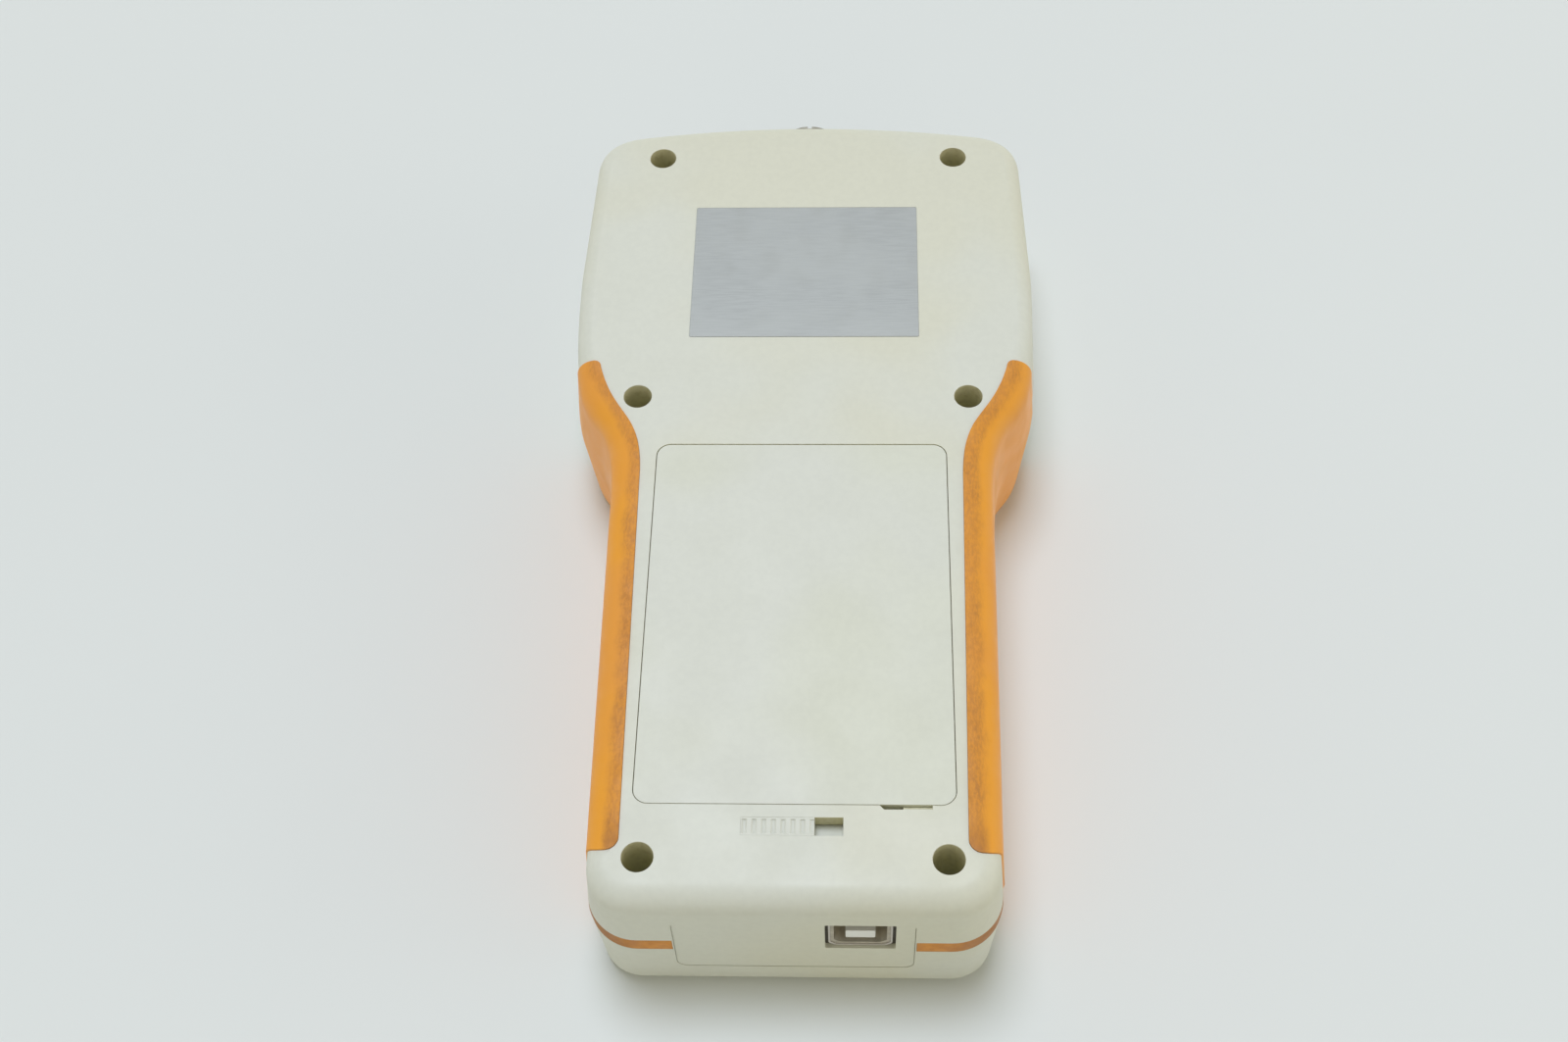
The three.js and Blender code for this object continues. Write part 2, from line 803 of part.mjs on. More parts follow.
function batteryDoor() {
  const plate = extrude(
    rectangle(0, doorMiddleY, doorHalfWidth - gap, doorHalfLength - gap, doorCornerRadius - gap),
    doorInnerZ,
    caseThickness,
  );
  const hooks = [-hookX, hookX].map((x) =>
    block(
      x - hookWidth / 2,
      x + hookWidth / 2,
      axisY - hookWeb,
      axisY + hookReach,
      hookTopZ - hookThickness,
      hookTopZ,
    ).add(
      block(
        x - hookWidth / 2,
        x + hookWidth / 2,
        axisY - hookWeb,
        axisY,
        hookTopZ - hookThickness,
        doorInnerZ + doorThickness / 2,
      ),
    ),
  );
  const tab = block(
    catchLowX,
    catchHighX,
    catchLowY + catchFoot,
    catchLowY + catchFoot + catchTab,
    catchLowZ,
    doorInnerZ + doorThickness / 2,
  );
  const foot = block(
    catchLowX,
    catchHighX,
    catchLowY,
    catchLowY + catchFoot + catchTab,
    catchLowZ,
    catchTopZ,
  );
  return union([plate, ...hooks, tab, foot]);
}

function doorOpening() {
  const recess = extrude(
    rectangle(0, doorMiddleY, doorHalfWidth, doorHalfLength, doorCornerRadius),
    doorInnerZ - gap,
    caseThickness + overrun,
  );
  const pockets = [-hookX, hookX].map((x) =>
    block(
      x - hookWidth / 2 - gap,
      x + hookWidth / 2 + gap,
      axisY - doorSwing,
      axisY + hookReach + gap,
      caseThickness - doorSwing - doorLedge,
      backInnerZ,
    ),
  );
  return union([recess, ...pockets]);
}

function fingerNotch() {
  const lowY = doorLowY - notchDepthY;
  const shape = new THREE.Shape();
  shape.moveTo(notchLowX + notchSlant, lowY);
  shape.lineTo(notchHighX, lowY);
  shape.lineTo(notchHighX, doorLowY + gap / 2);
  shape.lineTo(notchLowX, doorLowY + gap / 2);
  return extrude(shape, caseThickness - notchDepth, caseThickness + overrun);
}

// Latch slider

const latchTopZ = caseThickness - latchDepth;
const latchLowZ = latchTopZ - latchPlateThickness;
const latchPlateLowX = latchSlotLowX - latchTravel - latchPlateMargin;
const latchPlateHighX = latchSlotHighX + latchPlateMargin;
const latchPlateLowY = latchSlotLowY - latchPlateMargin;
const latchPlateHighY = latchSlotHighY + latchPlateMargin / 2;
const latchTongueLowX = catchLowX - latchTravel - gap;
const latchTongueHighY = catchLowY + catchFoot - gap;

function doorLatch() {
  const buttonHighX = latchSlotHighX - latchTravel - gap;
  const button = block(
    latchSlotLowX + gap,
    buttonHighX,
    latchSlotLowY + gap,
    latchSlotHighY - gap,
    latchLowZ,
    caseThickness,
  );
  const plate = block(
    latchPlateLowX,
    latchPlateHighX,
    latchPlateLowY,
    latchPlateHighY,
    latchLowZ,
    latchTopZ,
  );
  const tongue = block(
    latchTongueLowX,
    latchTongueLowX + latchTongueWidth,
    latchPlateLowY,
    latchTongueHighY,
    latchLowZ,
    latchTopZ,
  );
  const ribsLength = latchRibPitch * (latchRibCount - 1);
  const firstGroove = (latchSlotLowX + gap + buttonHighX - ribsLength) / 2;
  const grooves = Array.from({ length: latchRibCount }, (_, i) =>
    block(
      firstGroove + i * latchRibPitch - latchGrooveWidth / 2,
      firstGroove + i * latchRibPitch + latchGrooveWidth / 2,
      latchSlotLowY,
      latchSlotHighY,
      caseThickness - latchGrooveDepth,
      caseThickness + overrun,
    ),
  );
  return union([button, plate, tongue]).subtract(union(grooves));
}

const latchChamberHighX = latchPlateHighX + latchTravel + gap;
const latchChamberLowX = latchPlateLowX - gap;

function latchHousing() {
  return block(
    latchChamberLowX - latchShelf,
    latchChamberHighX + latchShelf,
    latchPlateLowY - gap - latchShelf,
    doorLowY + overrun,
    latchLowZ - gap - latchShelf,
    backInnerZ + overrun,
  );
}

function latchChamber() {
  const slot = block(
    latchSlotLowX,
    latchSlotHighX,
    latchSlotLowY,
    latchSlotHighY,
    latchTopZ - overrun,
    caseThickness + overrun,
  );
  const chamber = block(
    latchChamberLowX,
    latchChamberHighX,
    latchPlateLowY - gap,
    latchPlateHighY + gap,
    latchLowZ - gap,
    latchTopZ + gap,
  );
  const tongueWay = block(
    latchTongueLowX - gap,
    catchHighX + gap + gap,
    latchPlateLowY,
    catchLowY + catchFoot + catchTab + gap,
    catchLowZ - gap,
    doorInnerZ,
  );
  const shelfKept = block(
    latchTongueLowX - overrun,
    catchHighX + overrun,
    latchPlateLowY - overrun,
    doorLowY - gap,
    latchTopZ + gap,
    caseThickness,
  ).add(
    block(
      latchTongueLowX - overrun,
      catchHighX + overrun,
      latchPlateLowY - overrun,
      doorLowY - gap,
      catchLowZ - overrun,
      latchLowZ - gap,
    ),
  );
  return union([slot, chamber, tongueWay.subtract(shelfKept)]);
}

// Data socket

const usbHalfWidth = usbWidth / 2;
const usbHalfHeight = usbHeight / 2;
const usbFrontY = panelSetback + usbSetback;
const usbBackY = usbFrontY + usbLength;
const usbTopZ = usbZ + usbHalfHeight;

// The two corners at the front side of the case are cut off.
function usbShape(shrink) {
  const halfX = usbHalfWidth - shrink;
  const halfZ = usbHalfHeight - shrink;
  const shape = new THREE.Shape();
  shape.moveTo(usbX - halfX + usbChamfer, usbZ - halfZ);
  shape.lineTo(usbX + halfX - usbChamfer, usbZ - halfZ);
  shape.lineTo(usbX + halfX, usbZ - halfZ + usbChamfer);
  shape.lineTo(usbX + halfX, usbZ + halfZ);
  shape.lineTo(usbX - halfX, usbZ + halfZ);
  shape.lineTo(usbX - halfX, usbZ - halfZ + usbChamfer);
  return shape;
}

function usbShell() {
  const outer = extrudeAlongY(usbShape(0), usbFrontY, usbBackY);
  return outer.subtract(extrudeAlongY(usbShape(usbWall), usbFrontY - overrun, usbBackY + overrun));
}

function usbTongue() {
  const base = extrudeAlongY(usbShape(usbWall + gap), usbBackY - usbBase, usbBackY);
  const tongueZ = usbZ - usbTongueDrop;
  const tongue = block(
    usbX - usbTongueWidth / 2,
    usbX + usbTongueWidth / 2,
    usbFrontY + usbTongueSetback,
    usbBackY - usbBase / 2,
    tongueZ - usbTongueHeight / 2,
    tongueZ + usbTongueHeight / 2,
  );
  return base.add(tongue);
}

const usbPostPlaces = [usbX - usbPostX, usbX + usbPostX].map((x) => [x, usbBackY + usbPostRadius]);

function usbBoard() {
  return block(
    usbX - usbHalfWidth - usbBoardMargin,
    usbX + usbHalfWidth + usbBoardMargin,
    cavityDepth + gap,
    usbBackY + usbBoardMargin,
    usbTopZ,
    usbTopZ + boardThickness,
  );
}

const usbCut = () =>
  block(
    usbX - usbHalfWidth - usbSideGap,
    usbX + usbHalfWidth + usbSideGap,
    -overrun,
    usbBackY,
    usbZ - usbHalfHeight - gap,
    usbZ + usbHalfHeight + gap,
  );

// Rear shell

function rearShell() {
  const walls = caseForm.intersect(upperSpace).subtract(cavityForm);
  const bosses = screwPlaces.map(([x, y]) =>
    rod(x, y, wellRadius + wellWall, partingZ, backInnerZ + overrun),
  );
  const posts = usbPostPlaces.map(([x, y]) =>
    rod(x, y, usbPostRadius, usbTopZ + boardThickness, backInnerZ + overrun, smallSides),
  );
  const deck = block(
    -doorHalfWidth - doorLedge,
    doorHalfWidth + doorLedge,
    doorLowY - doorLedge,
    doorHighY + hookReach + doorLedge,
    ledgeZ,
    backInnerZ + overrun,
  );
  const frames = [bottomPanel, topPanel].map((place) => panelFrame(place).intersect(upperSpace));
  const inside = union([...bosses, ...posts, deck, latchHousing(), ...frames])
    .add(compartmentBox())
    .intersect(coreForm);
  const wells = screwPlaces.map(([x, y]) =>
    rod(x, y, wellRadius, wellFloorZ, caseThickness + overrun).add(
      rod(x, y, screwHoleRadius, partingZ - overrun, wellFloorZ + overrun, smallSides),
    ),
  );
  const labelSeat = block(
    -labelWidth / 2 - gap,
    labelWidth / 2 + gap,
    labelY - labelHeight / 2 - gap,
    labelY + labelHeight / 2 + gap,
    caseThickness - labelInset,
    caseThickness + overrun,
  );
  const cuts = union([
    ...wells,
    labelSeat,
    compartmentHollow(),
    doorOpening(),
    fingerNotch(),
    latchChamber(),
    panelRecess(bottomPanel),
    panelRecess(topPanel),
    rebates,
  ]);
  return walls.add(inside).subtract(cuts);
}

// Front shell

const frontRimAt = (p) => rimEnd + (rimGrip - rimEnd) * gripShareAt(p.y);
const recessOutline = inset(outline, frontRimAt);
const keyPlaces = Array.from({ length: keyRows * keyColumns }, (_, i) => {
  const column = i % keyColumns;
  const row = Math.floor(i / keyColumns);
  return [(column - (keyColumns - 1) / 2) * keyPitchX, keyLowY + (keyRows - 1 - row) * keyPitchY];
});
const boardPosts = [
  [0, boardScrewLowY],
  [-boardScrewHeadX, caseLength - boardScrewHighFromHead],
  [boardScrewHeadX, caseLength - boardScrewHighFromHead],
];

function cutCorners([x, y], halfX, halfY, corner) {
  const signs = [
    [1, -1],
    [1, 1],
    [-1, 1],
    [-1, -1],
  ];
  return signs.flatMap(([sx, sy], i) => {
    const alongX = new THREE.Vector2(x + sx * (halfX - corner), y + sy * halfY);
    const alongY = new THREE.Vector2(x + sx * halfX, y + sy * (halfY - corner));
    return i % 2 === 0 ? [alongX, alongY] : [alongY, alongX];
  });
}

const keyHole = (place) => cutCorners(place, keyWidth / 2 + gap, keyHeight / 2 + gap, keyCorner);
const windowHole = (grow) =>
  cutCorners([0, displayY], windowWidth / 2 + grow, windowHeight / 2 + grow, lensCorner);
const prism = (points, lowZ, highZ) => loft([atHeight(points, lowZ), atHeight(points, highZ)]);

function frontShell() {
  const walls = caseForm.intersect(lowerSpace).subtract(cavityForm);
  const bosses = screwPlaces.map(([x, y]) =>
    rod(x, y, screwHoleRadius + bossWall, wallInnerZ - overrun, partingZ, smallSides),
  );
  const posts = boardPosts.map(([x, y]) =>
    rod(x, y, boardPostRadius, wallInnerZ - overrun, boardFrontZ, smallSides),
  );
  const frames = [bottomPanel, topPanel].map((place) => panelFrame(place).intersect(lowerSpace));
  const inside = union([...bosses, ...posts, ...frames]).intersect(coreForm);
  const bores = screwPlaces.map(([x, y]) =>
    rod(x, y, screwHoleRadius, wellFloorZ - screwLength - gap, partingZ + overrun, smallSides),
  );
  const pilots = boardPosts.map(([x, y]) =>
    rod(x, y, boardScrewRadius + gap, boardBackZ - boardScrewLength - gap, boardBackZ, smallSides),
  );
  const recess = prism(recessOutline, -overrun, frontRecess);
  const keyHoles = keyPlaces.map((place) => prism(keyHole(place), 0, wallInnerZ + overrun));
  const lensSeatZ = frontRecess - overlayThickness + lensThickness;
  const cuts = union([
    recess,
    ...bores,
    ...pilots,
    ...keyHoles,
    prism(windowHole(0), 0, wallInnerZ + overrun),
    prism(windowHole(lensRim + gap), 0, lensSeatZ),
    panelRecess(bottomPanel),
    panelRecess(topPanel),
    rebates,
  ]);
  return walls.add(inside).subtract(cuts);
}

function frontOverlay() {
  const lowZ = frontRecess - overlayThickness;
  const sheet = prism(inset(recessOutline, () => gap), lowZ, frontRecess);
  const holes = keyPlaces.map((place) => prism(keyHole(place), lowZ - overrun, frontRecess + overrun));
  const window = prism(windowHole(lensRim + gap), lowZ - overrun, frontRecess + overrun);
  return sheet.subtract(union([...holes, window]));
}

function displayLens() {
  const lowZ = frontRecess - overlayThickness;
  return prism(windowHole(lensRim), lowZ, lowZ + lensThickness);
}

function lcdModule() {
  const body = prism(windowHole(lcdRim), boardFrontZ - lcdThickness, boardFrontZ);
  const face = prism(windowHole(0), 0, boardFrontZ - lcdThickness + lcdBezel);
  return body.subtract(face);
}

const domeTopZ = boardFrontZ - domeSheetThickness - domeHeight;

function key(place) {
  const faceZ = frontRecess - overlayThickness - keyProud;
  const flangeZ = wallInnerZ + gap;
  const stemZ = flangeZ + keyFlangeThickness;
  const ring = (grow) => cutCorners(place, keyWidth / 2 + grow, keyHeight / 2 + grow, keyCorner);
  const stem = cutCorners(place, keyStemHalf, keyStemHalf, keyStemHalf / 2);
  return loft([
    atHeight(ring(-keyCrown), faceZ),
    atHeight(ring(0), faceZ + keyCrown),
    atHeight(ring(0), flangeZ),
    atHeight(ring(keyFlange), flangeZ),
    atHeight(ring(keyFlange), stemZ),
    atHeight(stem, stemZ),
    atHeight(stem, domeTopZ - keyTravel - gap),
  ]);
}

function domeSheet() {
  const middleY = keyLowY + ((keyRows - 1) / 2) * keyPitchY;
  const halfX = ((keyColumns - 1) / 2) * keyPitchX + domeSheetMargin;
  const halfY = ((keyRows - 1) / 2) * keyPitchY + domeSheetMargin;
  const lowZ = boardFrontZ - domeSheetThickness;
  const sheet = block(-halfX, halfX, middleY - halfY, middleY + halfY, lowZ, boardFrontZ);
  const domes = keyPlaces.map((place) =>
    loft([
      atHeight(cutCorners(place, domeRadius / 2, domeRadius / 2, domeRadius / 4), domeTopZ),
      atHeight(cutCorners(place, domeRadius, domeRadius, domeRadius / 2), lowZ + domeSheetThickness / 2),
    ]),
  );
  return union([sheet, ...domes]);
}

// Boards

function mainBoard() {
  const highY = caseLength - boardFromHead;
  const shoulderHighY = caseLength - boardShoulderFromHead;
  const shoulderLowY = shoulderHighY - boardShoulderLength;
  const shape = new THREE.Shape();
  shape.moveTo(-boardWaistHalfWidth, boardLowY);
  shape.lineTo(boardWaistHalfWidth, boardLowY);
  shape.lineTo(boardWaistHalfWidth, shoulderLowY);
  shape.lineTo(boardHeadHalfWidth, shoulderHighY);
  shape.lineTo(boardHeadHalfWidth, highY);
  shape.lineTo(-boardHeadHalfWidth, highY);
  shape.lineTo(-boardHeadHalfWidth, shoulderHighY);
  shape.lineTo(-boardWaistHalfWidth, shoulderLowY);
  const holes = boardPosts.map(([x, y]) =>
    rod(x, y, boardScrewRadius + gap, 0, caseThickness, smallSides),
  );
  const notches = screwPlaces.map(([x, y]) =>
    rod(x, y, screwHoleRadius + bossWall + gap, 0, caseThickness, smallSides),
  );
  return extrude(shape, boardFrontZ, boardBackZ).subtract(union([...holes, ...notches]));
}

function boardScrew([x, y]) {
  const lowZ = boardBackZ - boardScrewLength;
  const head = rod(x, y, boardScrewHeadRadius, boardBackZ, boardBackZ + boardScrewHeadHeight, smallSides);
  return head.add(rod(x, y, boardScrewRadius, lowZ, boardBackZ + boardScrewHeadHeight / 2, smallSides));
}

function shieldCan() {
  const highY = caseLength - shieldFromHead;
  const box = (shrink, drop) =>
    block(
      -shieldHalfWidth + shrink,
      shieldHalfWidth - shrink,
      highY - shieldLength + shrink,
      highY - shrink,
      boardBackZ - drop,
      boardBackZ + shieldHeight - shrink,
    );
  return box(0, 0).subtract(box(shieldWall, overrun));
}

const buzzer = () =>
  rod(buzzerX, caseLength - buzzerFromHead, buzzerRadius, boardBackZ, boardBackZ + buzzerHeight);

// Antenna socket

const socketZ = partingZ;
const topPanelInnerY = topPanel.faceY - panelBackDepth;
const mouthY = tipY - socketMouthDepth;
const socketTailY = topPanelInnerY - socketShoulder - socketTail;
const insulatorLowY = socketTailY - insulatorFlange;
const contactLowY = insulatorLowY - contactTail;

function socketBarrel() {
  const profile = [[socketBore, socketTailY], [socketTailRadius, socketTailY]];
  profile.push([socketTailRadius, topPanelInnerY - socketShoulder]);
  profile.push([socketShoulderRadius, topPanelInnerY - socketShoulder]);
  profile.push([socketShoulderRadius, topPanelInnerY]);
  const root = socketRadius - threadDepth;
  profile.push([root, topPanelInnerY]);
  const threadLowY = topPanel.faceY + nutThickness;
  const turns = Math.floor((tipY - threadLowY) / threadPitch);
  const firstY = tipY - turns * threadPitch;
  for (let i = 0; i < turns; i += 1) {
    profile.push([root, firstY + i * threadPitch]);
    profile.push([socketRadius, firstY + (i + 0.5) * threadPitch]);
  }
  profile.push([root, tipY], [socketBore, tipY], [socketBore, socketTailY]);
  const notches = Array.from({ length: rimNotchCount / 2 }, (_, i) => {
    const bar = new THREE.BoxGeometry(rimNotchWidth, 2 * rimNotchDepth, 3 * socketRadius);
    bar.rotateY((2 * Math.PI * i) / rimNotchCount);
    return toSolid(bar.translate(0, tipY, socketZ));
  });
  return turned(profile, 0, socketZ, socketSides).subtract(union(notches));
}

function socketNut() {
  const hexagon = new THREE.Shape(
    Array.from({ length: 6 }, (_, i) => {
      const turn = (Math.PI * i) / 3;
      const radius = nutAcrossCorners / 2;
      return new THREE.Vector2(radius * Math.cos(turn), socketZ + radius * Math.sin(turn));
    }),
  );
  const hole = turned(
    [
      [0, topPanel.faceY - overrun],
      [socketRadius + gap, topPanel.faceY - overrun],
      [socketRadius + gap, topPanel.faceY + nutThickness + overrun],
      [0, topPanel.faceY + nutThickness + overrun],
    ],
    0,
    socketZ,
    socketSides,
  );
  return extrudeAlongY(hexagon, topPanel.faceY, topPanel.faceY + nutThickness).subtract(hole);
}

function socketInsulator() {
  const hole = contactRadius + gap;
  return turned(
    [
      [hole, insulatorLowY],
      [socketTailRadius, insulatorLowY],
      [socketTailRadius, socketTailY],
      [socketBore - gap, socketTailY],
      [socketBore - gap, mouthY],
      [hole, mouthY],
      [hole, insulatorLowY],
    ],
    0,
    socketZ,
  );
}

function socketContact() {
  const collar = contactRadius + 2 * gap;
  return turned(
    [
      [0, contactLowY],
      [contactRadius, contactLowY],
      [collar, contactLowY + gap],
      [collar, insulatorLowY],
      [contactRadius, insulatorLowY],
      [contactRadius, mouthY],
      [contactBore, mouthY],
      [contactBore, insulatorLowY + contactTail],
      [0, insulatorLowY + contactTail],
    ],
    0,
    socketZ,
    smallSides,
  );
}

// A bent strip from the socket's middle contact down to the board.
function rfLink() {
  const highY = contactLowY;
  const upright = block(
    -linkWidth / 2,
    linkWidth / 2,
    highY - linkThickness,
    highY,
    boardBackZ,
    socketZ + linkWidth / 2,
  );
  const foot = block(
    -linkWidth / 2,
    linkWidth / 2,
    highY - linkFoot,
    highY,
    boardBackZ,
    boardBackZ + linkThickness,
  );
  return upright.add(foot);
}

// Finishes and the finished group

const finish = (color, roughness, metalness) =>
  new THREE.MeshStandardMaterial({ color, roughness, metalness });
const beige = finish(0xd4d6cb, 0.55, 0);
const orange = finish(0xe0983c, 0.65, 0);
const silver = finish(0xafb4ba, 0.45, 0.2);
const steel = finish(0xb9bbbd, 0.3, 1);
const plating = finish(0xc9c7bf, 0.25, 1);
const brass = finish(0xc9a45a, 0.3, 1);
const white = finish(0xeeeeea, 0.5, 0);
const dark = finish(0x2e3136, 0.5, 0);
const keyGrey = finish(0xe3e2da, 0.6, 0);
const boardGreen = finish(0x1f5a36, 0.5, 0);
const clear = finish(0xa9b3b0, 0.1, 0);

const analyzer = new THREE.Group();
analyzer.position.y = -tipY / 2;

function addPiece(name, solid, material) {
  const mesh = new THREE.Mesh(toGeometry(solid), material);
  mesh.name = name;
  analyzer.add(mesh);
}

const bottomPanelPlate = panel(bottomPanel).subtract(usbCut());
const socketHole = turned(
  [
    [0, topPanelInnerY - overrun],
    [socketRadius + gap, topPanelInnerY - overrun],
    [socketRadius + gap, tipY],
    [0, tipY],
  ],
  0,
  socketZ,
  socketSides,
);

addPiece("rear_shell", rearShell(), beige);
addPiece("front_shell", frontShell(), beige);
addPiece("grip_right", rightGrip, orange);
addPiece("grip_left", mirrored(rightGrip), orange);
addPiece("end_panel_bottom", bottomPanelPlate, beige);
addPiece("end_panel_top", panel(topPanel).subtract(socketHole), beige);
addPiece("battery_door", batteryDoor(), beige);
addPiece("door_latch", doorLatch(), beige);
addPiece(
  "rating_label",
  block(
    -labelWidth / 2,
    labelWidth / 2,
    labelY - labelHeight / 2,
    labelY + labelHeight / 2,
    caseThickness - labelInset,
    caseThickness - labelInset + labelThickness,
  ),
  silver,
);
addPiece("front_overlay", frontOverlay(), dark);
addPiece("display_lens", displayLens(), clear);
addPiece("lcd_module", lcdModule(), dark);
addPiece("dome_sheet", domeSheet(), white);
keyPlaces.forEach((place, i) => addPiece(`key_${String(i + 1).padStart(2, "0")}`, key(place), keyGrey));
addPiece("main_board", mainBoard(), boardGreen);
boardPosts.forEach((place, i) => addPiece(`board_screw_${i + 1}`, boardScrew(place), steel));
addPiece("shield_can", shieldCan(), steel);
addPiece("buzzer", buzzer(), dark);
addPiece("usb_board", usbBoard(), boardGreen);
addPiece("usb_shell", usbShell(), steel);
addPiece("usb_tongue", usbTongue(), white);
addPiece("uhf_barrel", socketBarrel(), plating);
addPiece("uhf_nut", socketNut(), plating);
addPiece("uhf_insulator", socketInsulator(), white);
addPiece("uhf_contact", socketContact(), brass);
addPiece("rf_link", rfLink(), brass);
cellXs.forEach((x, i) => {
  const placed = (solid) => (isTurned(i) ? flipY(solid) : solid);
  addPiece(`battery_cell_${i + 1}`, placed(batteryCell(x)), dark);
  addPiece(`battery_spring_${i + 1}`, placed(batterySpring(x)), steel);
  addPiece(`battery_plate_${i + 1}`, placed(batteryPlate(x)), steel);
});
screwPlaces.forEach((place, i) => addPiece(`case_screw_${i + 1}`, caseScrew(place), steel));

export default analyzer;
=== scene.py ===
"""The looks of a handheld antenna analyzer that lies on its front face, back up.

Pieces are modelled in millimetres in the case's own frame (x = 0 in the middle, y = 0 at the
bottom end face, z = 0 on the table) and placed in metres over the frame by solid_from().
"""
import math

import bmesh
import bpy
import numpy as np
from mathutils import Matrix, Vector


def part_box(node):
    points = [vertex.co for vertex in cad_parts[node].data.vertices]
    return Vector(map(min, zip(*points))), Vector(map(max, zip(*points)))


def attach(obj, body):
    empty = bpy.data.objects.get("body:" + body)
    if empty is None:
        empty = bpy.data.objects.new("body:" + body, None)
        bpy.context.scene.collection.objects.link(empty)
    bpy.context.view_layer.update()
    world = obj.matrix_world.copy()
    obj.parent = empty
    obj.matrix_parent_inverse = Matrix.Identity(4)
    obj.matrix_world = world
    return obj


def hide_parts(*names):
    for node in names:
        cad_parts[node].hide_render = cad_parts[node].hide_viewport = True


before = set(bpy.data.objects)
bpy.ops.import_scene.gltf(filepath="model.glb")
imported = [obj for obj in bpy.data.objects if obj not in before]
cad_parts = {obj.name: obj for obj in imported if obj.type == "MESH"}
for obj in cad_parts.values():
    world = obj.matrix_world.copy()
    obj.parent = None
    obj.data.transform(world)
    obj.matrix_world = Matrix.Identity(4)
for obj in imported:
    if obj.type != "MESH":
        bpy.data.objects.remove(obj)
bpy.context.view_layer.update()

MM = 0.001
END_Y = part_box("rear_shell")[0][1]  # the bottom end face, in metres

# Camera, as the photograph was taken
FOCAL_PIXELS = 2004.0
PHOTO_WIDTH = 1600.0
SENSOR = 36.0
CAMERA_PITCH = math.radians(55.78)
CAMERA_YAW = math.radians(-3.73)
CAMERA_ROLL = math.radians(-2.97)
CAMERA_PLACE = (11.4, -140.7, 367.8)
CLIP_START = 0.01

# Case, as the frame's solids are built
CASE_LENGTH = 200.0
CASE_THICKNESS = 37.0
PARTING = CASE_THICKNESS / 2
FOOT_HALF_WIDTH = 39.5  # half widths at the parting plane, where the case is widest
FOOT_CORNER = 10.0
WAIST_HALF_WIDTH = 40.6
HEAD_HALF_WIDTH = 51.6
HEAD_END_HALF_WIDTH = 50.4
WAIST_FROM_HEAD = 112.0
SHOULDER_FROM_HEAD = 48.0
HEAD_CORNER_LENGTH = 16.0
HEAD_CORNER_WIDTH = 11.2
HEAD_BOW = 3.0
SHOULDER_SHARES = (0.58, 0.9)
HEAD_CORNER_SHARE = 0.62
QUARTER_SHARE = 0.5523
WALL_DRAFT, FOOT_DRAFT = 0.0865, 0.02  # how much the walls lean in, per millimetre of height
END_EDGE_WIDTH = 5.0
GRIP_EDGE_WIDTH = 7.0
HEAD_EDGE_WIDTH = 8.0
BACK_EDGE_HEIGHT = 5.2
FRONT_EDGE = 2.5
EDGE_BLEND = 6.0
EDGE_STEPS = 10
OUTLINE_STEP = 1.1
LONG_STEP = 200.0  # leaves a straight side in one piece
FINE_STEP = 0.4
BELOW, ABOVE = -2.0, 40.0  # heights past the case, for cuts that run right through
PAST = 2.0  # how far a cutter reaches past what it cuts
NEAR = 0.01  # how close a corner lies to a plane that it is on

# Grips
GRIP_THICKNESS = 2.2
GRIP_PROUD = 0.3  # the soft rubber stands this far out of the case
GRIP_BAND = 7.1
GRIP_FOOT_BAND = 7.3
GRIP_LOW = 10.9
GRIP_LOW_RISE = 1.9
GRIP_CORNER = 2.5
GRIP_BEND_FROM_HEAD = 106.0
GRIP_TIP_FROM_HEAD = 74.5
GRIP_TIP_INSET = 7.9
GRIP_TIP_CORNER = 1.3
GRIP_SHARES = (0.579, 0.608, 0.485)
GRIP_CLEARANCE = 0.05
STRIP_HEIGHT = 4.0
STRIP_ROUNDING, GRIP_ROUNDING = 0.1, 0.35

# Seams and small features of the case
SEAM = 0.3
WELL_RADIUS = 3.0
WELL_FLOOR = PARTING + 3.0
WELL_ROUNDING, BACK_ROUNDING = 0.35, 0.25  # of the edges round the wells and of the other openings
SCREWS = [
    (side * x, y)
    for x, y in ((33.7, CASE_LENGTH - 14.0), (35.2, CASE_LENGTH - 84.1), (28.5, 9.5))
    for side in (-1, 1)
]
DOOR_LOW, DOOR_HIGH, DOOR_HALF = 20.24, 103.3, 30.3
DOOR_CORNER = 3.0
DOOR_SEAM = 0.1
DOOR_ROUNDING = 0.28
DOOR_INNER = CASE_THICKNESS - 2.2
HOOK_X, HOOK_WIDTH, HOOK_THICKNESS = 18.0, 8.0, 2.0
HOOK_TOP = CASE_THICKNESS - 2.8
HOOK_WEB, HOOK_REACH = 2.5, 2.7
CATCH = (5.0, 9.0)
CATCH_TAB, CATCH_FOOT, CATCH_FOOT_THICKNESS = 1.5, 3.0, 1.2
NOTCH_DEEP = ((15.8, 20.3), 0.85, 3.0, 0.9)  # x range, reach below the door, depth, slant
NOTCH_SHALLOW = ((20.1, 25.7), 0.75, 0.8, 0.0)
SLOT = (-9.8, 9.2, 14.0, 17.7)  # lowest and highest x, lowest and highest y
SLOT_DEPTH = 3.0
LATCH_TOP = CASE_THICKNESS - 3.3
LATCH_LOW = LATCH_TOP - 1.4
SLIDER_END, SLIDER_GAP, SLIDER_DROP = 3.9, 0.03, 0.02
SLIDER_ROUNDING = 0.12
PLATE = (-16.2, 10.6, 12.6, 18.4)  # the slider's plate under the shell, as the slot is given
TONGUE = (-0.3, 3.7, 12.6, 23.54)
GROOVES, GROOVE_PITCH = 8, 1.8
LABEL_HALF = (25.0, 19.0)
LABEL_Y = 151.26
LABEL_CORNER, LABEL_GAP = 0.4, 0.08
LABEL_SEAT, LABEL_PROUD = 0.1, 0.06
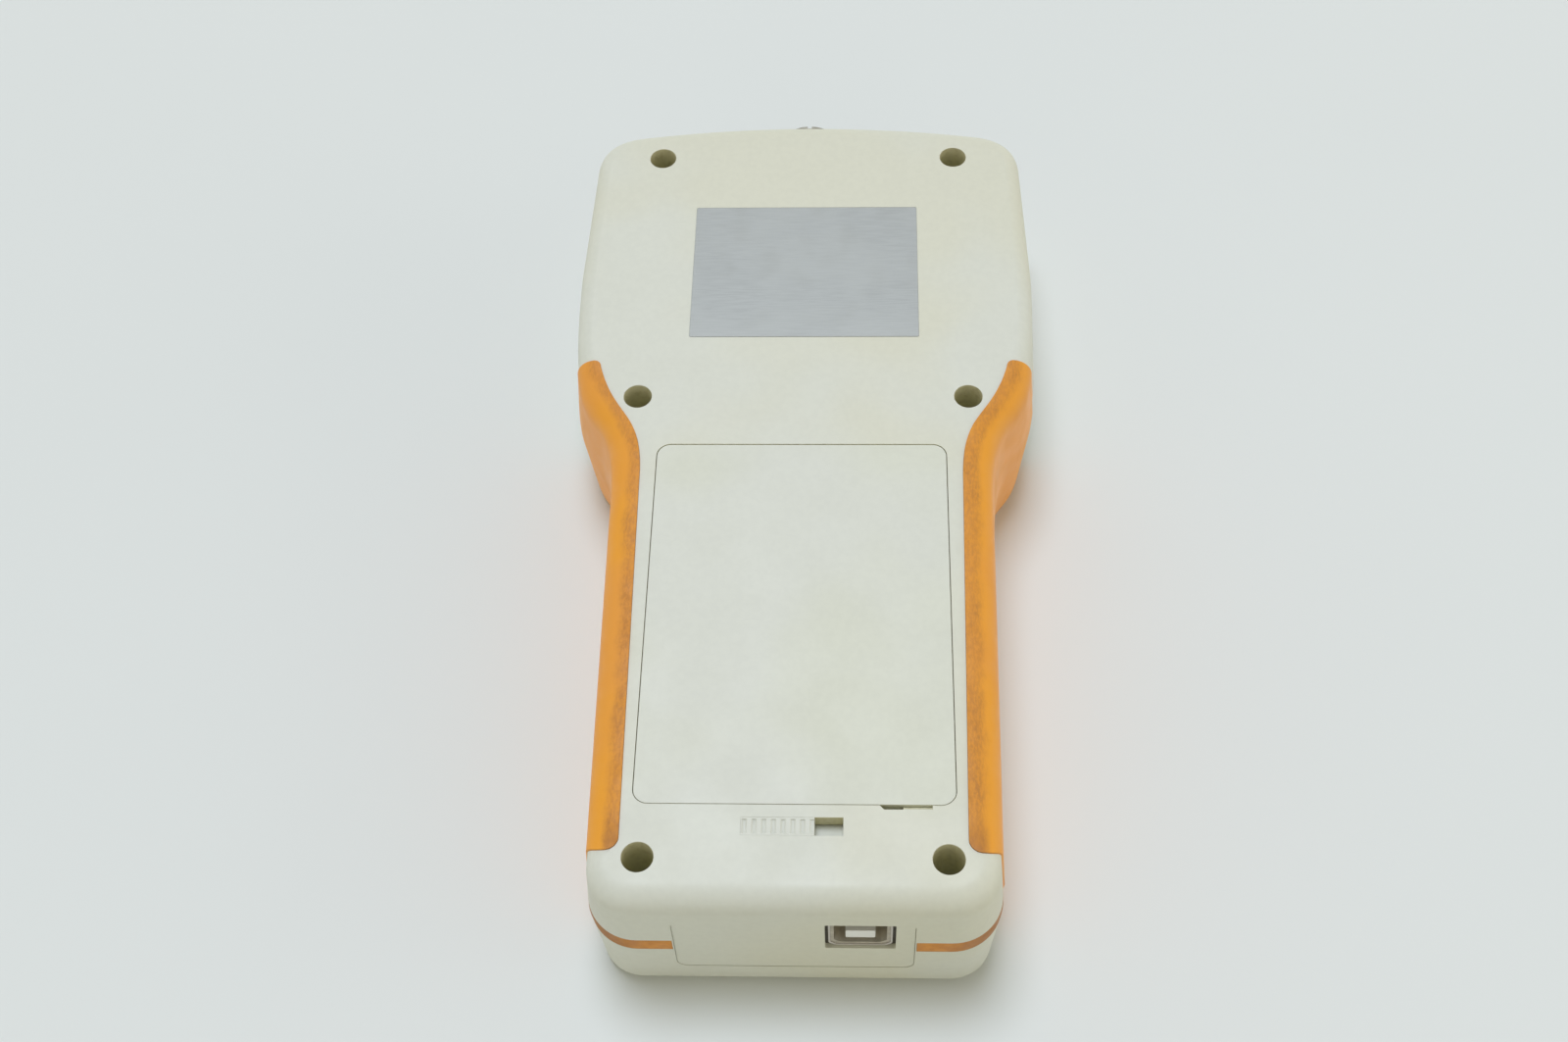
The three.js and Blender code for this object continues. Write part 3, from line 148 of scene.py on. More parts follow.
PANEL_HALF = (22.65, 10.65)
PANEL_CORNER = 2.3
PANEL_SEAM = 0.05  # beside and below the panel; above it is closed
PANEL_FACE = 1.2  # thickness in front of the flange
FLANGE, FLANGE_NEAR, FLANGE_FAR = 1.6, 1.1, 2.6  # its reach past the opening and its depths
SKIN = 1.0  # how deep the fine outer cuts reach; below it the frame's own solids are followed
SLACK = 0.02
OPENING_DEPTH = (1.4, 4.5)  # of the end panels' openings, at the foot and at the head

# Front face
RECESS = 1.2
RIM_END = 6.5
RIM_GRIP = 9.4
OVERLAY = 0.3
FILM_FACE = RECESS - OVERLAY
FRONT_ROUNDING = 0.3
FILM_SEAM = 0.15
WINDOW_HALF = (30.0, 22.5)
DISPLAY_Y = CASE_LENGTH - 48.0
LENS_RIM = 3.0
LENS_THICKNESS = 1.3
LENS_GAP, LENS_ROUNDING = 0.1, 0.15
WINDOW_LINE, LINE_WIDTH = 4.6, 0.5  # the printed line's reach past the window, and its width
SCREEN = (4.12, 4.6)  # lowest and highest z of the display's glass
KEY_ROWS, KEY_COLUMNS = 6, 3
KEY_PITCH = (19.5, 12.6)
KEY_LOW = 25.0
KEY_HALF = (7.0, 3.78)
KEY_CORNER = 1.8
KEY_FACE, KEY_CROWN = 0.3, 0.55
KEY_ROOT, KEY_FLANGE, KEY_FLANGE_TOP, STEM_TOP = 3.7, 0.8, 4.7, 5.7
KEY_GAP, FILM_GAP, KEY_HOLE_END = 0.2, 0.25, 6.0
STEM_HALF, STEM_CORNER = 2.0, 0.8
SIGN_SIZE, SIGN_HALF_DEPTH, SIGN_Z = 4.4, 0.04, 0.15


# Camera, first of all
def aim_camera():
    sin_p, cos_p = math.sin(CAMERA_PITCH), math.cos(CAMERA_PITCH)
    sin_w, cos_w = math.sin(CAMERA_YAW), math.cos(CAMERA_YAW)
    sin_r, cos_r = math.sin(CAMERA_ROLL), math.cos(CAMERA_ROLL)
    forward = Vector((sin_w * cos_p, cos_w * cos_p, -sin_p))
    right = Vector((cos_w, -sin_w, 0.0))
    up = right.cross(forward)
    turned_right = cos_r * right + sin_r * up
    turned_up = -sin_r * right + cos_r * up
    data = bpy.data.cameras.new("camera")
    data.sensor_fit = "HORIZONTAL"
    data.sensor_width = SENSOR
    data.lens = FOCAL_PIXELS / PHOTO_WIDTH * SENSOR
    data.clip_start = CLIP_START
    camera = bpy.data.objects.new("camera", data)
    bpy.context.scene.collection.objects.link(camera)
    turn = Matrix((turned_right, turned_up, -forward)).transposed().to_4x4()
    place = Vector(CAMERA_PLACE) * MM + Vector((0.0, END_Y, 0.0))
    camera.matrix_world = Matrix.Translation(place) @ turn
    bpy.context.scene.camera = camera


aim_camera()


# Mesh helpers
CIRCLE_SIDES = 64
WELD = 1e-6  # in metres: corners closer than this are one
SHARP = math.radians(35)  # an edge that turns more than this may be rounded
FLAT = 0.002  # faces of a frame node that turn less than this, in radians, are one face
PULLED = math.radians(50)  # a corner's normal this far off its face is a sliver's doing


def solid_from(name, points, faces):
    """A new object from points in millimetres in the case's frame."""
    mesh = bpy.data.meshes.new(name)
    placed = np.asarray(points, dtype=float) * MM
    placed[:, 1] += END_Y
    mesh.from_pydata(placed.tolist(), [], [list(map(int, f)) for f in faces])
    mesh.update()
    made = bpy.data.objects.new(name, mesh)
    bpy.context.scene.collection.objects.link(made)
    return made


def between(gaps, levels, count):
    """The four corners of each face in the gaps between rings of count corners."""
    for level in range(gaps):
        low, high = level * count, (level + 1) % levels * count
        for i in range(count):
            j = (i + 1) % count
            yield low + i, low + j, high + j, high + i


def closed_tube(name, points, levels, count):
    """A solid whose last ring joins its first one."""
    faces = [(a, d, c, b) for a, b, c, d in between(levels, levels, count)]
    made = solid_from(name, points, faces)
    clean(made)
    return made


def loft(name, rings):
    """A solid through rings of equal count, lowest first, each counter-clockwise from above."""
    count = len(rings[0])
    points = np.concatenate([np.asarray(r, dtype=float) for r in rings])
    faces = list(between(len(rings) - 1, len(rings), count))
    faces.append(list(range(count))[::-1])
    faces.append([(len(rings) - 1) * count + i for i in range(count)])
    return solid_from(name, points, faces)


def at_height(outline, z):
    return np.column_stack([outline, np.full(len(outline), z)])


def prism(name, outline, low, high):
    """An upright solid between two heights."""
    return loft(name, [at_height(outline, low), at_height(outline, high)])


def block(name, low, high):
    """A box between two opposite corners."""
    outline = np.array([(low[0], low[1]), (high[0], low[1]), (high[0], high[1]), (low[0], high[1])])
    return prism(name, outline, low[2], high[2])


def rounded(middle, half, radius, steps=10, grow=0.0):
    """A rectangle with round corners; grow moves its sides outwards."""
    half_x, half_y = half[0] + grow, half[1] + grow
    points = []
    for k, (sx, sy) in enumerate(((1, -1), (1, 1), (-1, 1), (-1, -1))):
        for i in range(steps + 1):
            turn = math.radians(90 * (k - 1) + 90 * i / steps)
            points.append((
                middle[0] + sx * (half_x - radius) + radius * math.cos(turn),
                middle[1] + sy * (half_y - radius) + radius * math.sin(turn),
            ))
    return np.array(points)


def circle(middle, radius):
    turns = np.arange(CIRCLE_SIDES) * (2 * math.pi / CIRCLE_SIDES)
    return np.column_stack([middle[0] + radius * np.cos(turns), middle[1] + radius * np.sin(turns)])


def along_y(name, outline, low, high):
    """A prism whose outline is drawn in x and z."""
    x, z = outline[:, 0], outline[:, 1]
    return loft(name, [np.column_stack([x, np.full(len(x), y), z]) for y in (high, low)])


def turned_y(name, profile, middle_z, sides=CIRCLE_SIDES, middle_x=0.0):
    """A closed profile of (radius, y) turned about the line along y through middle_x, middle_z."""
    points = []
    for turn in np.arange(sides) * (2 * math.pi / sides):
        cos, sin = math.cos(turn), math.sin(turn)
        points += [(middle_x + radius * cos, y, middle_z + radius * sin) for radius, y in profile]
    return closed_tube(name, points, sides, len(profile))


def round_corners(corners, radius):
    """A polygon, counter-clockwise, with each corner turned into a short curve."""
    corners = np.asarray(corners, dtype=float)
    points = []
    for i, corner in enumerate(corners):
        before = corners[i - 1] - corner
        after = corners[(i + 1) % len(corners)] - corner
        a = corner + before * (radius / np.linalg.norm(before))
        b = corner + after * (radius / np.linalg.norm(after))
        for t in np.linspace(0, 1, 5):
            points.append((1 - t) ** 2 * a + 2 * (1 - t) * t * corner + t * t * b)
    return np.array(points)


def join(piece, parts, material):
    """Adds the faces of parts to a piece, in a material of their own."""
    work = bmesh.new()
    work.from_mesh(piece.data)
    if material.name not in piece.data.materials:
        piece.data.materials.append(material)
    index = piece.data.materials.find(material.name)
    for part in parts:
        known = len(work.faces)
        work.from_mesh(part.data)
        work.faces.ensure_lookup_table()
        for face in work.faces[known:]:
            face.material_index = index
        bpy.data.objects.remove(part)
    work.to_mesh(piece.data)
    work.free()
    return piece


def clean(piece):
    """Merges doubled corners, drops faces without area and points all faces outwards."""
    work = bmesh.new()
    work.from_mesh(piece.data)
    bmesh.ops.remove_doubles(work, verts=work.verts, dist=WELD)
    bmesh.ops.dissolve_degenerate(work, edges=work.edges, dist=WELD)
    bmesh.ops.recalc_face_normals(work, faces=work.faces)
    work.to_mesh(piece.data)
    work.free()
    piece.data.update()


def bake(piece):
    """Turns the piece's modifiers into plain mesh."""
    view = bpy.context.evaluated_depsgraph_get()
    made = bpy.data.meshes.new_from_object(piece.evaluated_get(view))
    made.name = piece.name
    piece.modifiers.clear()
    piece.data = made


def carve(piece, operation, tools):
    """Cuts, joins or intersects a piece with tools, which are then removed."""
    for tool in tools:
        change = piece.modifiers.new("carve", "BOOLEAN")
        change.operation = operation
        change.solver = "EXACT"
        change.object = tool
    bake(piece)
    for tool in tools:
        bpy.data.objects.remove(tool)
    return piece


def copy_of(node, name):
    """A merged copy of a frame node's mesh, as a new object at the origin."""
    made = bpy.data.objects.new(name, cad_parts[node].data.copy())
    made.data.transform(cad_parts[node].matrix_world)
    made.data.materials.clear()
    bpy.context.scene.collection.objects.link(made)
    work = bmesh.new()
    work.from_mesh(made.data)
    bmesh.ops.remove_doubles(work, verts=work.verts, dist=2 * WELD)
    bmesh.ops.dissolve_limit(
        work, angle_limit=FLAT, verts=work.verts, edges=work.edges, delimit=set()
    )
    work.to_mesh(made.data)
    work.free()
    return made


def soften(piece, width, on_edge, segments=2):
    """Rounds the sharp edges that on_edge picks by their two ends, in millimetres."""
    mesh = piece.data
    work = bmesh.new()
    work.from_mesh(mesh)
    layer = work.edges.layers.float.get("bevel_weight_edge")
    if layer is None:
        layer = work.edges.layers.float.new("bevel_weight_edge")
    for edge in work.edges:
        if len(edge.link_faces) != 2:
            continue
        turn = edge.calc_face_angle(0.0)
        a, b = (in_case(v.co) for v in edge.verts)
        edge[layer] = 1.0 if turn > SHARP and on_edge(a, b) else 0.0
    work.to_mesh(mesh)
    work.free()
    change = piece.modifiers.new("soften", "BEVEL")
    change.limit_method = "WEIGHT"
    change.width = width * MM
    change.segments = segments
    change.use_clamp_overlap = True
    bake(piece)


def in_case(point):
    """A scene point as millimetres in the case's own frame."""
    return (point[0] / MM, (point[1] - END_Y) / MM, point[2] / MM)


def smooth(piece, angle=32.0, weighted=True):
    """Smooth faces with sharp edges past an angle, flat faces ruling the normals beside them."""
    for face in piece.data.polygons:
        face.use_smooth = True
    piece.data.set_sharp_from_angle(angle=math.radians(angle))
    if weighted:
        change = piece.modifiers.new("normals", "WEIGHTED_NORMAL")
        change.mode = "FACE_AREA"
        change.weight = 50
        change.keep_sharp = True
        bake(piece)
        mend_normals(piece.data)
    return piece


def mend_normals(mesh):
    """Gives corners the face's own normal where a sliver has pulled theirs far off it."""
    normals = [Vector(item.vector) for item in mesh.corner_normals]
    for face in mesh.polygons:
        for corner in face.loop_indices:
            if face.normal.angle(normals[corner], 0.0) > PULLED:
                normals[corner] = face.normal.copy()
    mesh.normals_split_custom_set(normals)


def neat(piece, *roundings, angle=32.0, weighted=True):
    """Cleans the piece, rounds edges by (width, rule, segments) and shades it smooth."""
    clean(piece)
    for rounding in roundings:
        soften(piece, *rounding)
    return smooth(piece, angle, weighted)


# Case forms
def bezier(a, b, c, d, step=OUTLINE_STEP):
    a, b, c, d = (np.array(p, dtype=float) for p in (a, b, c, d))
    length = np.linalg.norm(b - a) + np.linalg.norm(c - b) + np.linalg.norm(d - c)
    count = max(4, int(length / step))
    t = (np.arange(1, count + 1) / count)[:, None]
    return (1 - t) ** 3 * a + 3 * (1 - t) ** 2 * t * b + 3 * (1 - t) * t**2 * c + t**3 * d


def line(a, b, step=OUTLINE_STEP * 2):
    a, b = np.array(a, dtype=float), np.array(b, dtype=float)
    count = max(1, int(np.linalg.norm(b - a) / step))
    t = (np.arange(1, count + 1) / count)[:, None]
    return a + (b - a) * t


def drawn(start, *legs):
    """Points along legs, each [end] or [handle, handle, end] and perhaps a step of its own."""
    points, at = [np.array([start], dtype=float)], start
    for leg in legs:
        step = [leg.pop()] if isinstance(leg[-1], float) else []
        points.append((bezier if len(leg) == 3 else line)(at, *leg, *step))
        at = leg[-1]
    return np.concatenate(points)


def case_outline():
    waist_y, shoulder_y = CASE_LENGTH - WAIST_FROM_HEAD, CASE_LENGTH - SHOULDER_FROM_HEAD
    rise = shoulder_y - waist_y
    handle = FOOT_CORNER * (1 - QUARTER_SHARE)
    side_y, end_y = CASE_LENGTH - HEAD_CORNER_LENGTH, CASE_LENGTH - HEAD_BOW
    end_x = HEAD_END_HALF_WIDTH - HEAD_CORNER_WIDTH
    share = HEAD_CORNER_SHARE
    end, top = np.array((end_x, end_y)), np.array((0.0, CASE_LENGTH))
    bow = np.array((end_x / 2, CASE_LENGTH))
    foot, waist = FOOT_HALF_WIDTH, WAIST_HALF_WIDTH
    shoulder, side = HEAD_HALF_WIDTH, HEAD_END_HALF_WIDTH
    lower, upper = waist_y + SHOULDER_SHARES[0] * rise, shoulder_y - SHOULDER_SHARES[1] * rise
    corner = (end_x + share * HEAD_CORNER_WIDTH, end_y - HEAD_BOW * (1 - share))
    right = drawn(
        (0, 0),
        [(foot - FOOT_CORNER, 0)],
        [(foot - handle, 0), (foot, handle), (foot, FOOT_CORNER)],
        [(waist, waist_y)],
        [(waist, lower), (shoulder, upper), (shoulder, shoulder_y)],
        [(side, side_y)],
        [(side, side_y + share * (end_y - side_y)), corner, end],
        [end + (bow - end) * 2 / 3, top + (bow - top) * 2 / 3, top],
    )
    left = right[1:-1][::-1] * (-1, 1)
    return np.concatenate([right, left])


def inset(points, amounts):
    before, after = np.roll(points, 1, axis=0), np.roll(points, -1, axis=0)

    def normal(step):
        turned = np.column_stack([step[:, 1], -step[:, 0]])
        return turned / np.linalg.norm(turned, axis=1)[:, None]

    first, second = normal(points - before), normal(after - points)
    outwards = first + second
    outwards /= np.linalg.norm(outwards, axis=1)[:, None]
    reach = np.broadcast_to(amounts, len(points)) / np.sum(outwards * first, axis=1)
    return points - outwards * reach[:, None]


def ramp(value, low, high):
    t = np.clip((value - low) / (high - low), 0, 1)
    return t * t * (3 - 2 * t)


GRIP_TIP = CASE_LENGTH - GRIP_TIP_FROM_HEAD
OUTLINE = case_outline()


def grip_share(y):
    start = ramp(y, GRIP_LOW - EDGE_BLEND / 2, GRIP_LOW + EDGE_BLEND / 2)
    return start * (1 - ramp(y, GRIP_TIP - 2 * EDGE_BLEND, GRIP_TIP + EDGE_BLEND))


def edge_widths(y):
    head = ramp(y, CASE_LENGTH - HEAD_CORNER_LENGTH, CASE_LENGTH - HEAD_BOW)
    widths = END_EDGE_WIDTH + (GRIP_EDGE_WIDTH - END_EDGE_WIDTH) * grip_share(y)
    return widths + (HEAD_EDGE_WIDTH - END_EDGE_WIDTH) * head


def draft(z):
    """How far the leaning wall has come in at a height, all round the outline."""
    shares = FOOT_DRAFT + (WALL_DRAFT - FOOT_DRAFT) * ramp(OUTLINE[:, 1], 0.0, FOOT_CORNER)
    return shares * abs(z - PARTING)


def case_form(name, depth=0.0, steps=EDGE_STEPS):
    """The case's outer form, every face moved inwards by depth."""
    rings = []
    radius = max(FRONT_EDGE - depth, 0.3)
    front = depth + radius
    for i in range(steps // 2 + 1):
        turn = math.pi / 2 * i / (steps // 2)
        ring = inset(OUTLINE, depth + draft(front) + radius * (1 - math.sin(turn)))
        rings.append(at_height(ring, front - radius * math.cos(turn)))
    rings.append(at_height(inset(OUTLINE, depth), PARTING))
    back = CASE_THICKNESS - BACK_EDGE_HEIGHT
    widths = edge_widths(OUTLINE[:, 1]) - depth - draft(back)
    for i in range(steps + 1):
        turn = math.pi / 2 * i / steps
        ring = inset(OUTLINE, depth + draft(back) + widths * (1 - math.cos(turn)))
        rings.append(at_height(ring, back + (BACK_EDGE_HEIGHT - depth) * math.sin(turn)))
    return loft(name, rings)


def grip_outline():
    outside = HEAD_HALF_WIDTH + PAST
    bend_x, bend_y = WAIST_HALF_WIDTH - GRIP_BAND, CASE_LENGTH - GRIP_BEND_FROM_HEAD
    tip_x, tip_y = HEAD_HALF_WIDTH - GRIP_TIP_INSET, GRIP_TIP
    foot_x, foot_y = FOOT_HALF_WIDTH - GRIP_FOOT_BAND, GRIP_LOW
    low = GRIP_LOW + GRIP_LOW_RISE
    rise_x, rise_y = tip_x - bend_x, GRIP_TIP - bend_y
    r, c = GRIP_TIP_CORNER, GRIP_CORNER
    k = c * (1 - QUARTER_SHARE)
    middle = (bend_x + GRIP_SHARES[1] * rise_x, bend_y + GRIP_SHARES[2] * rise_y)
    return drawn(
        (outside, low),
        [(outside, tip_y), LONG_STEP],
        [(tip_x + 1.2 * r, tip_y), LONG_STEP],
        [(tip_x + 0.5 * r, tip_y), (tip_x, tip_y - 0.5 * r), (tip_x, tip_y - 1.2 * r), 0.3],
        [middle, (bend_x, bend_y + GRIP_SHARES[0] * rise_y), (bend_x, bend_y)],
        [(foot_x, foot_y + c)],
        [(foot_x, foot_y + k), (foot_x + k, foot_y), (foot_x + c, foot_y), FINE_STEP],
        [
            (foot_x + c + 3, foot_y + 0.2), (FOOT_HALF_WIDTH - 1.5, low),
            (FOOT_HALF_WIDTH + 0.5, low), FINE_STEP,
        ],
    )


GRIP_OUTLINE = grip_outline()


def grip_side(name, side, grow):
    points = inset(GRIP_OUTLINE, -grow)
    if side < 0:
        points = points[::-1] * (-1, 1)
    return prism(name, points, BELOW, CASE_THICKNESS + PAST)


def grip_strip(name, side, grow):
    inner, outer = PANEL_HALF[0] + SEAM - grow, HEAD_HALF_WIDTH + PAST
    low, high = sorted((side * inner, side * outer))
    return block(
        name,
        (low, BELOW, PARTING - STRIP_HEIGHT / 2 - grow),
        (high, CASE_LENGTH + PAST, PARTING + STRIP_HEIGHT / 2 + grow),
    )


def rebate(name, side):
    zone = grip_side(name, side, GRIP_CLEARANCE)
    carve(zone, "UNION", [grip_strip("strip", side, GRIP_CLEARANCE)])
    core = case_form("core", GRIP_THICKNESS + GRIP_CLEARANCE)
    return carve(zone, "DIFFERENCE", [core])


def hollow_of(node):
    """What the frame's solid leaves free below the outer skin of the case."""
    inside = case_form("inside", SKIN, 4)
    return carve(inside, "DIFFERENCE", [copy_of(node, "solid")])


# Finishes
def linear(red, green, blue):
    """A colour as it is read off the photograph, from 0 to 255, as linear light."""
    def channel(value):
        share = value / 255
        return share / 12.92 if share <= 0.04045 else ((share + 0.055) / 1.055) ** 2.4
    return (channel(red), channel(green), channel(blue), 1.0)


def feed(tree, socket, value):
    """Links an output to the socket, or sets a plain value on it."""
    if isinstance(value, bpy.types.NodeSocket):
        tree.links.new(value, socket)
    else:
        socket.default_value = value


class Nodes:
    """Short words for the nodes of a tree."""

    def new(self, kind, settings=None, **values):
        """A node; values name its inputs, as outputs to link or as plain values."""
        node = self.tree.nodes.new(kind)
        for key, value in (settings or {}).items():
            setattr(node, key, value)
        for key, value in values.items():
            for one in value if isinstance(value, list) else [value]:
                feed(self.tree, node.inputs[key.replace("_", " ")], one)
        return node

    def filled(self, kind, *values):
        """The first output of a node whose inputs are given in order."""
        node = self.new(*kind)
        for socket, value in zip(node.inputs, values):
            feed(self.tree, socket, value)
        return node.outputs[0]

    def math(self, kind, first, second):
        return self.filled(("ShaderNodeMath", {"operation": kind}), first, second)

    def times(self, first, second):
        return self.math("MULTIPLY", first, second)

    def plus(self, first, second):
        return self.math("ADD", first, second)


class Finish(Nodes):
    """A material with short words for the nodes that it is built from."""

    def __init__(self, name, **sockets):
        self.material = bpy.data.materials.new(name)
        self.material.use_nodes = True
        self.tree = self.material.node_tree
        self.shader = self.tree.nodes["Principled BSDF"]
        for key, value in sockets.items():
            self.shader.inputs[key.replace("_", " ")].default_value = value
        self.coords = self.tree.nodes.new("ShaderNodeTexCoord").outputs["Object"]

    def place(self, scale):
        return self.new("ShaderNodeMapping", Vector=self.coords, Scale=scale).outputs["Vector"]

    def noise(self, size_mm, detail=3.0, rough=0.5, vector=None):
        return self.new(
            "ShaderNodeTexNoise", Vector=vector or self.coords, Scale=1 / (size_mm * MM),
            Detail=detail, Roughness=rough,
        ).outputs["Fac"]

    def spots(self, size_mm):
        node = self.new("ShaderNodeTexVoronoi", Vector=self.coords, Scale=1 / (size_mm * MM))
        return node.outputs["Distance"]

    def spread(self, value, low, high, to_low=0.0, to_high=1.0, kind="SMOOTHSTEP"):
        return self.new(
            "ShaderNodeMapRange", {"interpolation_type": kind}, Value=value,
            From_Min=low, From_Max=high, To_Min=to_low, To_Max=to_high,
        ).outputs["Result"]

    def mix(self, share, first, second, kind="MIX"):
        node = self.new("ShaderNodeMix", {"data_type": "RGBA", "blend_type": kind})
        for index, value in ((0, share), (6, first), (7, second)):
            feed(self.tree, node.inputs[index], value)
        return node.outputs[2]

    def grey(self, value):
        return self.filled(("ShaderNodeCombineColor",), value, value, value)

    def patches(self, size_mm, detail, first, second, low=0.4, high=0.65):
        """Two tones in soft patches of about a size."""
        return self.mix(self.spread(self.noise(size_mm, detail), low, high), first, second)

    def uneven(self, size_mm, detail, smoothest, roughest):
        """Roughness that wanders between two values."""
        self.roughness(self.spread(self.noise(size_mm, detail), 0.3, 0.7, smoothest, roughest))

    def curve(self, value, points, x_range, y_range):
        """A value carried through a drawn curve; the points are in millimetres."""
        (low_x, high_x), (low_y, high_y) = x_range, y_range
        node = self.tree.nodes.new("ShaderNodeFloatCurve")
        drawn = node.mapping.curves[0].points
        while len(drawn) < len(points):
            drawn.new(0.5, 0.5)
        for handle, (x, y) in zip(drawn, points):
            handle.location = ((x - low_x) / (high_x - low_x), (y - low_y) / (high_y - low_y))
        node.mapping.update()
        share = self.spread(value, low_x * MM, high_x * MM, kind="LINEAR")
        feed(self.tree, node.inputs["Value"], share)
        return self.spread(node.outputs[0], 0.0, 1.0, low_y * MM, high_y * MM, kind="LINEAR")

    def axis(self, name):
        return self.new("ShaderNodeSeparateXYZ", Vector=self.coords).outputs[name]

    def colour(self, output):
        feed(self.tree, self.shader.inputs["Base Color"], output)

    def roughness(self, output):
        feed(self.tree, self.shader.inputs["Roughness"], output)

    def bump(self, height, depth_mm, strength):
        node = self.new("ShaderNodeBump", Strength=strength, Distance=depth_mm * MM, Height=height)
        feed(self.tree, self.shader.inputs["Normal"], node.outputs["Normal"])


def case_plastic(name, base, aged):
    """Satin moulded plastic with a fine eroded texture, slightly yellowed in patches."""
    made = Finish(name, Roughness=0.5)
    made.shader.inputs["Specular IOR Level"].default_value = 0.4
    tone = made.patches(55, 2, base, aged, 0.42, 0.62)
    fine = made.spread(made.noise(1.4, 4), 0.3, 0.7, 0.985, 1.012)
    tone = made.mix(1.0, tone, made.grey(fine), "MULTIPLY")
    specks = made.spread(made.spots(7.5), 0.0, 0.035, 1.0, 0.0)
    dots = made.times(specks, made.spread(made.noise(20), 0.56, 0.64))
    made.colour(made.mix(made.times(dots, 0.5), tone, linear(150, 146, 128)))
    made.uneven(12, 4, 0.44, 0.6)
    made.bump(made.noise(0.45, 2, 0.6), 0.012, 0.5)
    return made.material


def recess_shade_plastic():
    """The walls inside wells and slots: the same plastic, with painted olive shade that deepens
    towards the floor, and darker in random patches.
    """
    made = Finish("recess_shade_plastic", Roughness=0.6)
    deep, shallow = (CASE_THICKNESS - 9) * MM, (CASE_THICKNESS - 0.3) * MM
    # painted shade: the colour turns yellower and darker the deeper the wall lies below the back
    # face
    height = made.spread(made.axis("Z"), deep, shallow, kind="LINEAR")
    tone = made.mix(height, linear(212, 207, 164), linear(216, 212, 180))
    darker_patches = made.spread(made.noise(1.3, 4), 0.45, 0.7, 0.0, 0.4)
    made.colour(made.mix(darker_patches, tone, linear(180, 172, 130)))
    made.uneven(3, 3, 0.5, 0.7)
    made.bump(made.noise(0.45, 2, 0.6), 0.012, 0.5)
    return made.material


EDGE_SPAN = 130.0  # how far up the case the drawn edge reaches
EDGE_REACH = (30.0, 48.0)  # the least and greatest x that it may have


def grip_edge():
    """The grip's inner edge on the back, as (y in the scene, x) from the foot to the tip."""
    low = (GRIP_LOW + GRIP_CORNER, FOOT_HALF_WIDTH - GRIP_FOOT_BAND)
    bend = WAIST_HALF_WIDTH - GRIP_BAND
    points = [(0.0, low[1] - 0.1), low, (CASE_LENGTH - GRIP_BEND_FROM_HEAD, bend)]
    tip_x = HEAD_HALF_WIDTH - GRIP_TIP_INSET
    inner = [
        (y, x) for x, y in GRIP_OUTLINE
        if points[-1][0] < y < GRIP_TIP - 0.3 and x <= tip_x + NEAR
    ]
    points += sorted(inner[::4])
    points.append((GRIP_TIP, tip_x))
    points.append((EDGE_SPAN, tip_x + 0.6))
    return [(y + END_Y / MM, x) for y, x in points]


GRIP_EDGE = grip_edge()


def grip_rubber():
    """Soft rubber: vivid on the crest, with a painted pale sheen on the walls, rubbed dull along
    its inner edge.
    """
    made = Finish("orange_grip_rubber_painted_sheen", Roughness=0.6)
    made.shader.inputs["Specular IOR Level"].default_value = 0.35
    height, along = made.axis("Z"), made.axis("Y")
    across = made.math("ABSOLUTE", made.axis("X"), 0.0)
    # painted sheen: the steep walls take a paler, pinker copy of the crest's orange
    crest = made.patches(26, 2, linear(233, 158, 48), linear(229, 154, 60))
    wall = made.patches(14, 3, linear(243, 177, 112), linear(236, 168, 98))
    base = made.mix(made.spread(height, 30 * MM, 36.3 * MM), wall, crest)
    # the rubbed band, which wanders and is a little wider on the right
    inner = made.curve(along, GRIP_EDGE, (END_Y / MM, END_Y / MM + EDGE_SPAN), EDGE_REACH)
    away = made.math("SUBTRACT", across, inner)
    away = made.plus(away, made.spread(made.noise(9, 3), 0.3, 0.7, -0.7 * MM, 0.7 * MM, "LINEAR"))
    away = made.plus(away, made.spread(made.axis("X"), -MM, MM, 0.0, -0.9 * MM))
    upper = made.spread(height, 30 * MM, 34 * MM)
    rubbed = made.times(made.spread(away, 1.2 * MM, 3.6 * MM, 1.0, 0.0), upper)
    drawn_out = made.place((1.0, 0.4, 1.0))
    streaks = made.spread(made.noise(0.5, 4, 0.65, drawn_out), 0.32, 0.68)
    soiled = made.spread(made.noise(4.5, 6, 0.7, drawn_out), 0.35, 0.75)
    worn = made.times(rubbed, made.plus(made.times(streaks, 0.4), 0.4))
    tone = made.mix(worn, base, linear(198, 130, 54))
    dark = made.times(made.times(rubbed, soiled), made.plus(made.times(streaks, 0.35), 0.15))
    foot = made.spread(along, END_Y + 12 * MM, END_Y + 20 * MM, 0.45, 0.0)
    dark = made.plus(dark, made.times(foot, rubbed))
    tone = made.mix(dark, tone, linear(150, 98, 52))
    # the strip round the foot, darker towards its corners
    low = made.spread(along, END_Y + 9.5 * MM, END_Y + 11.5 * MM, 1.0, 0.0)
    corner = made.times(low, made.spread(across, 27 * MM, 36 * MM))
    strip = made.patches(2.4, 4, linear(214, 146, 66), linear(200, 132, 60), 0.35)
    tone = made.mix(low, tone, strip)
    made.colour(made.mix(made.times(corner, 0.6), tone, linear(140, 100, 66)))
    made.uneven(4, 4, 0.52, 0.7)
    made.bump(made.noise(0.35, 3, 0.6), 0.02, 0.6)
    return made.material


def plain_finish(name, colour, rough, metal, grain, depth=0.01, **sockets):
    """A finish for small pieces: a little uneven in tone, roughness and surface."""
    made = Finish(name, Metallic=metal, **sockets)
    darker = tuple(c * 0.94 for c in colour[:3]) + (1.0,)
    made.colour(made.mix(made.noise(grain, 3), colour, darker))
    made.uneven(grain * 0.7, 4, rough * 0.85, min(1.0, rough * 1.15))
    made.bump(made.noise(grain * 0.12, 2), depth, 0.4)
    return made.material


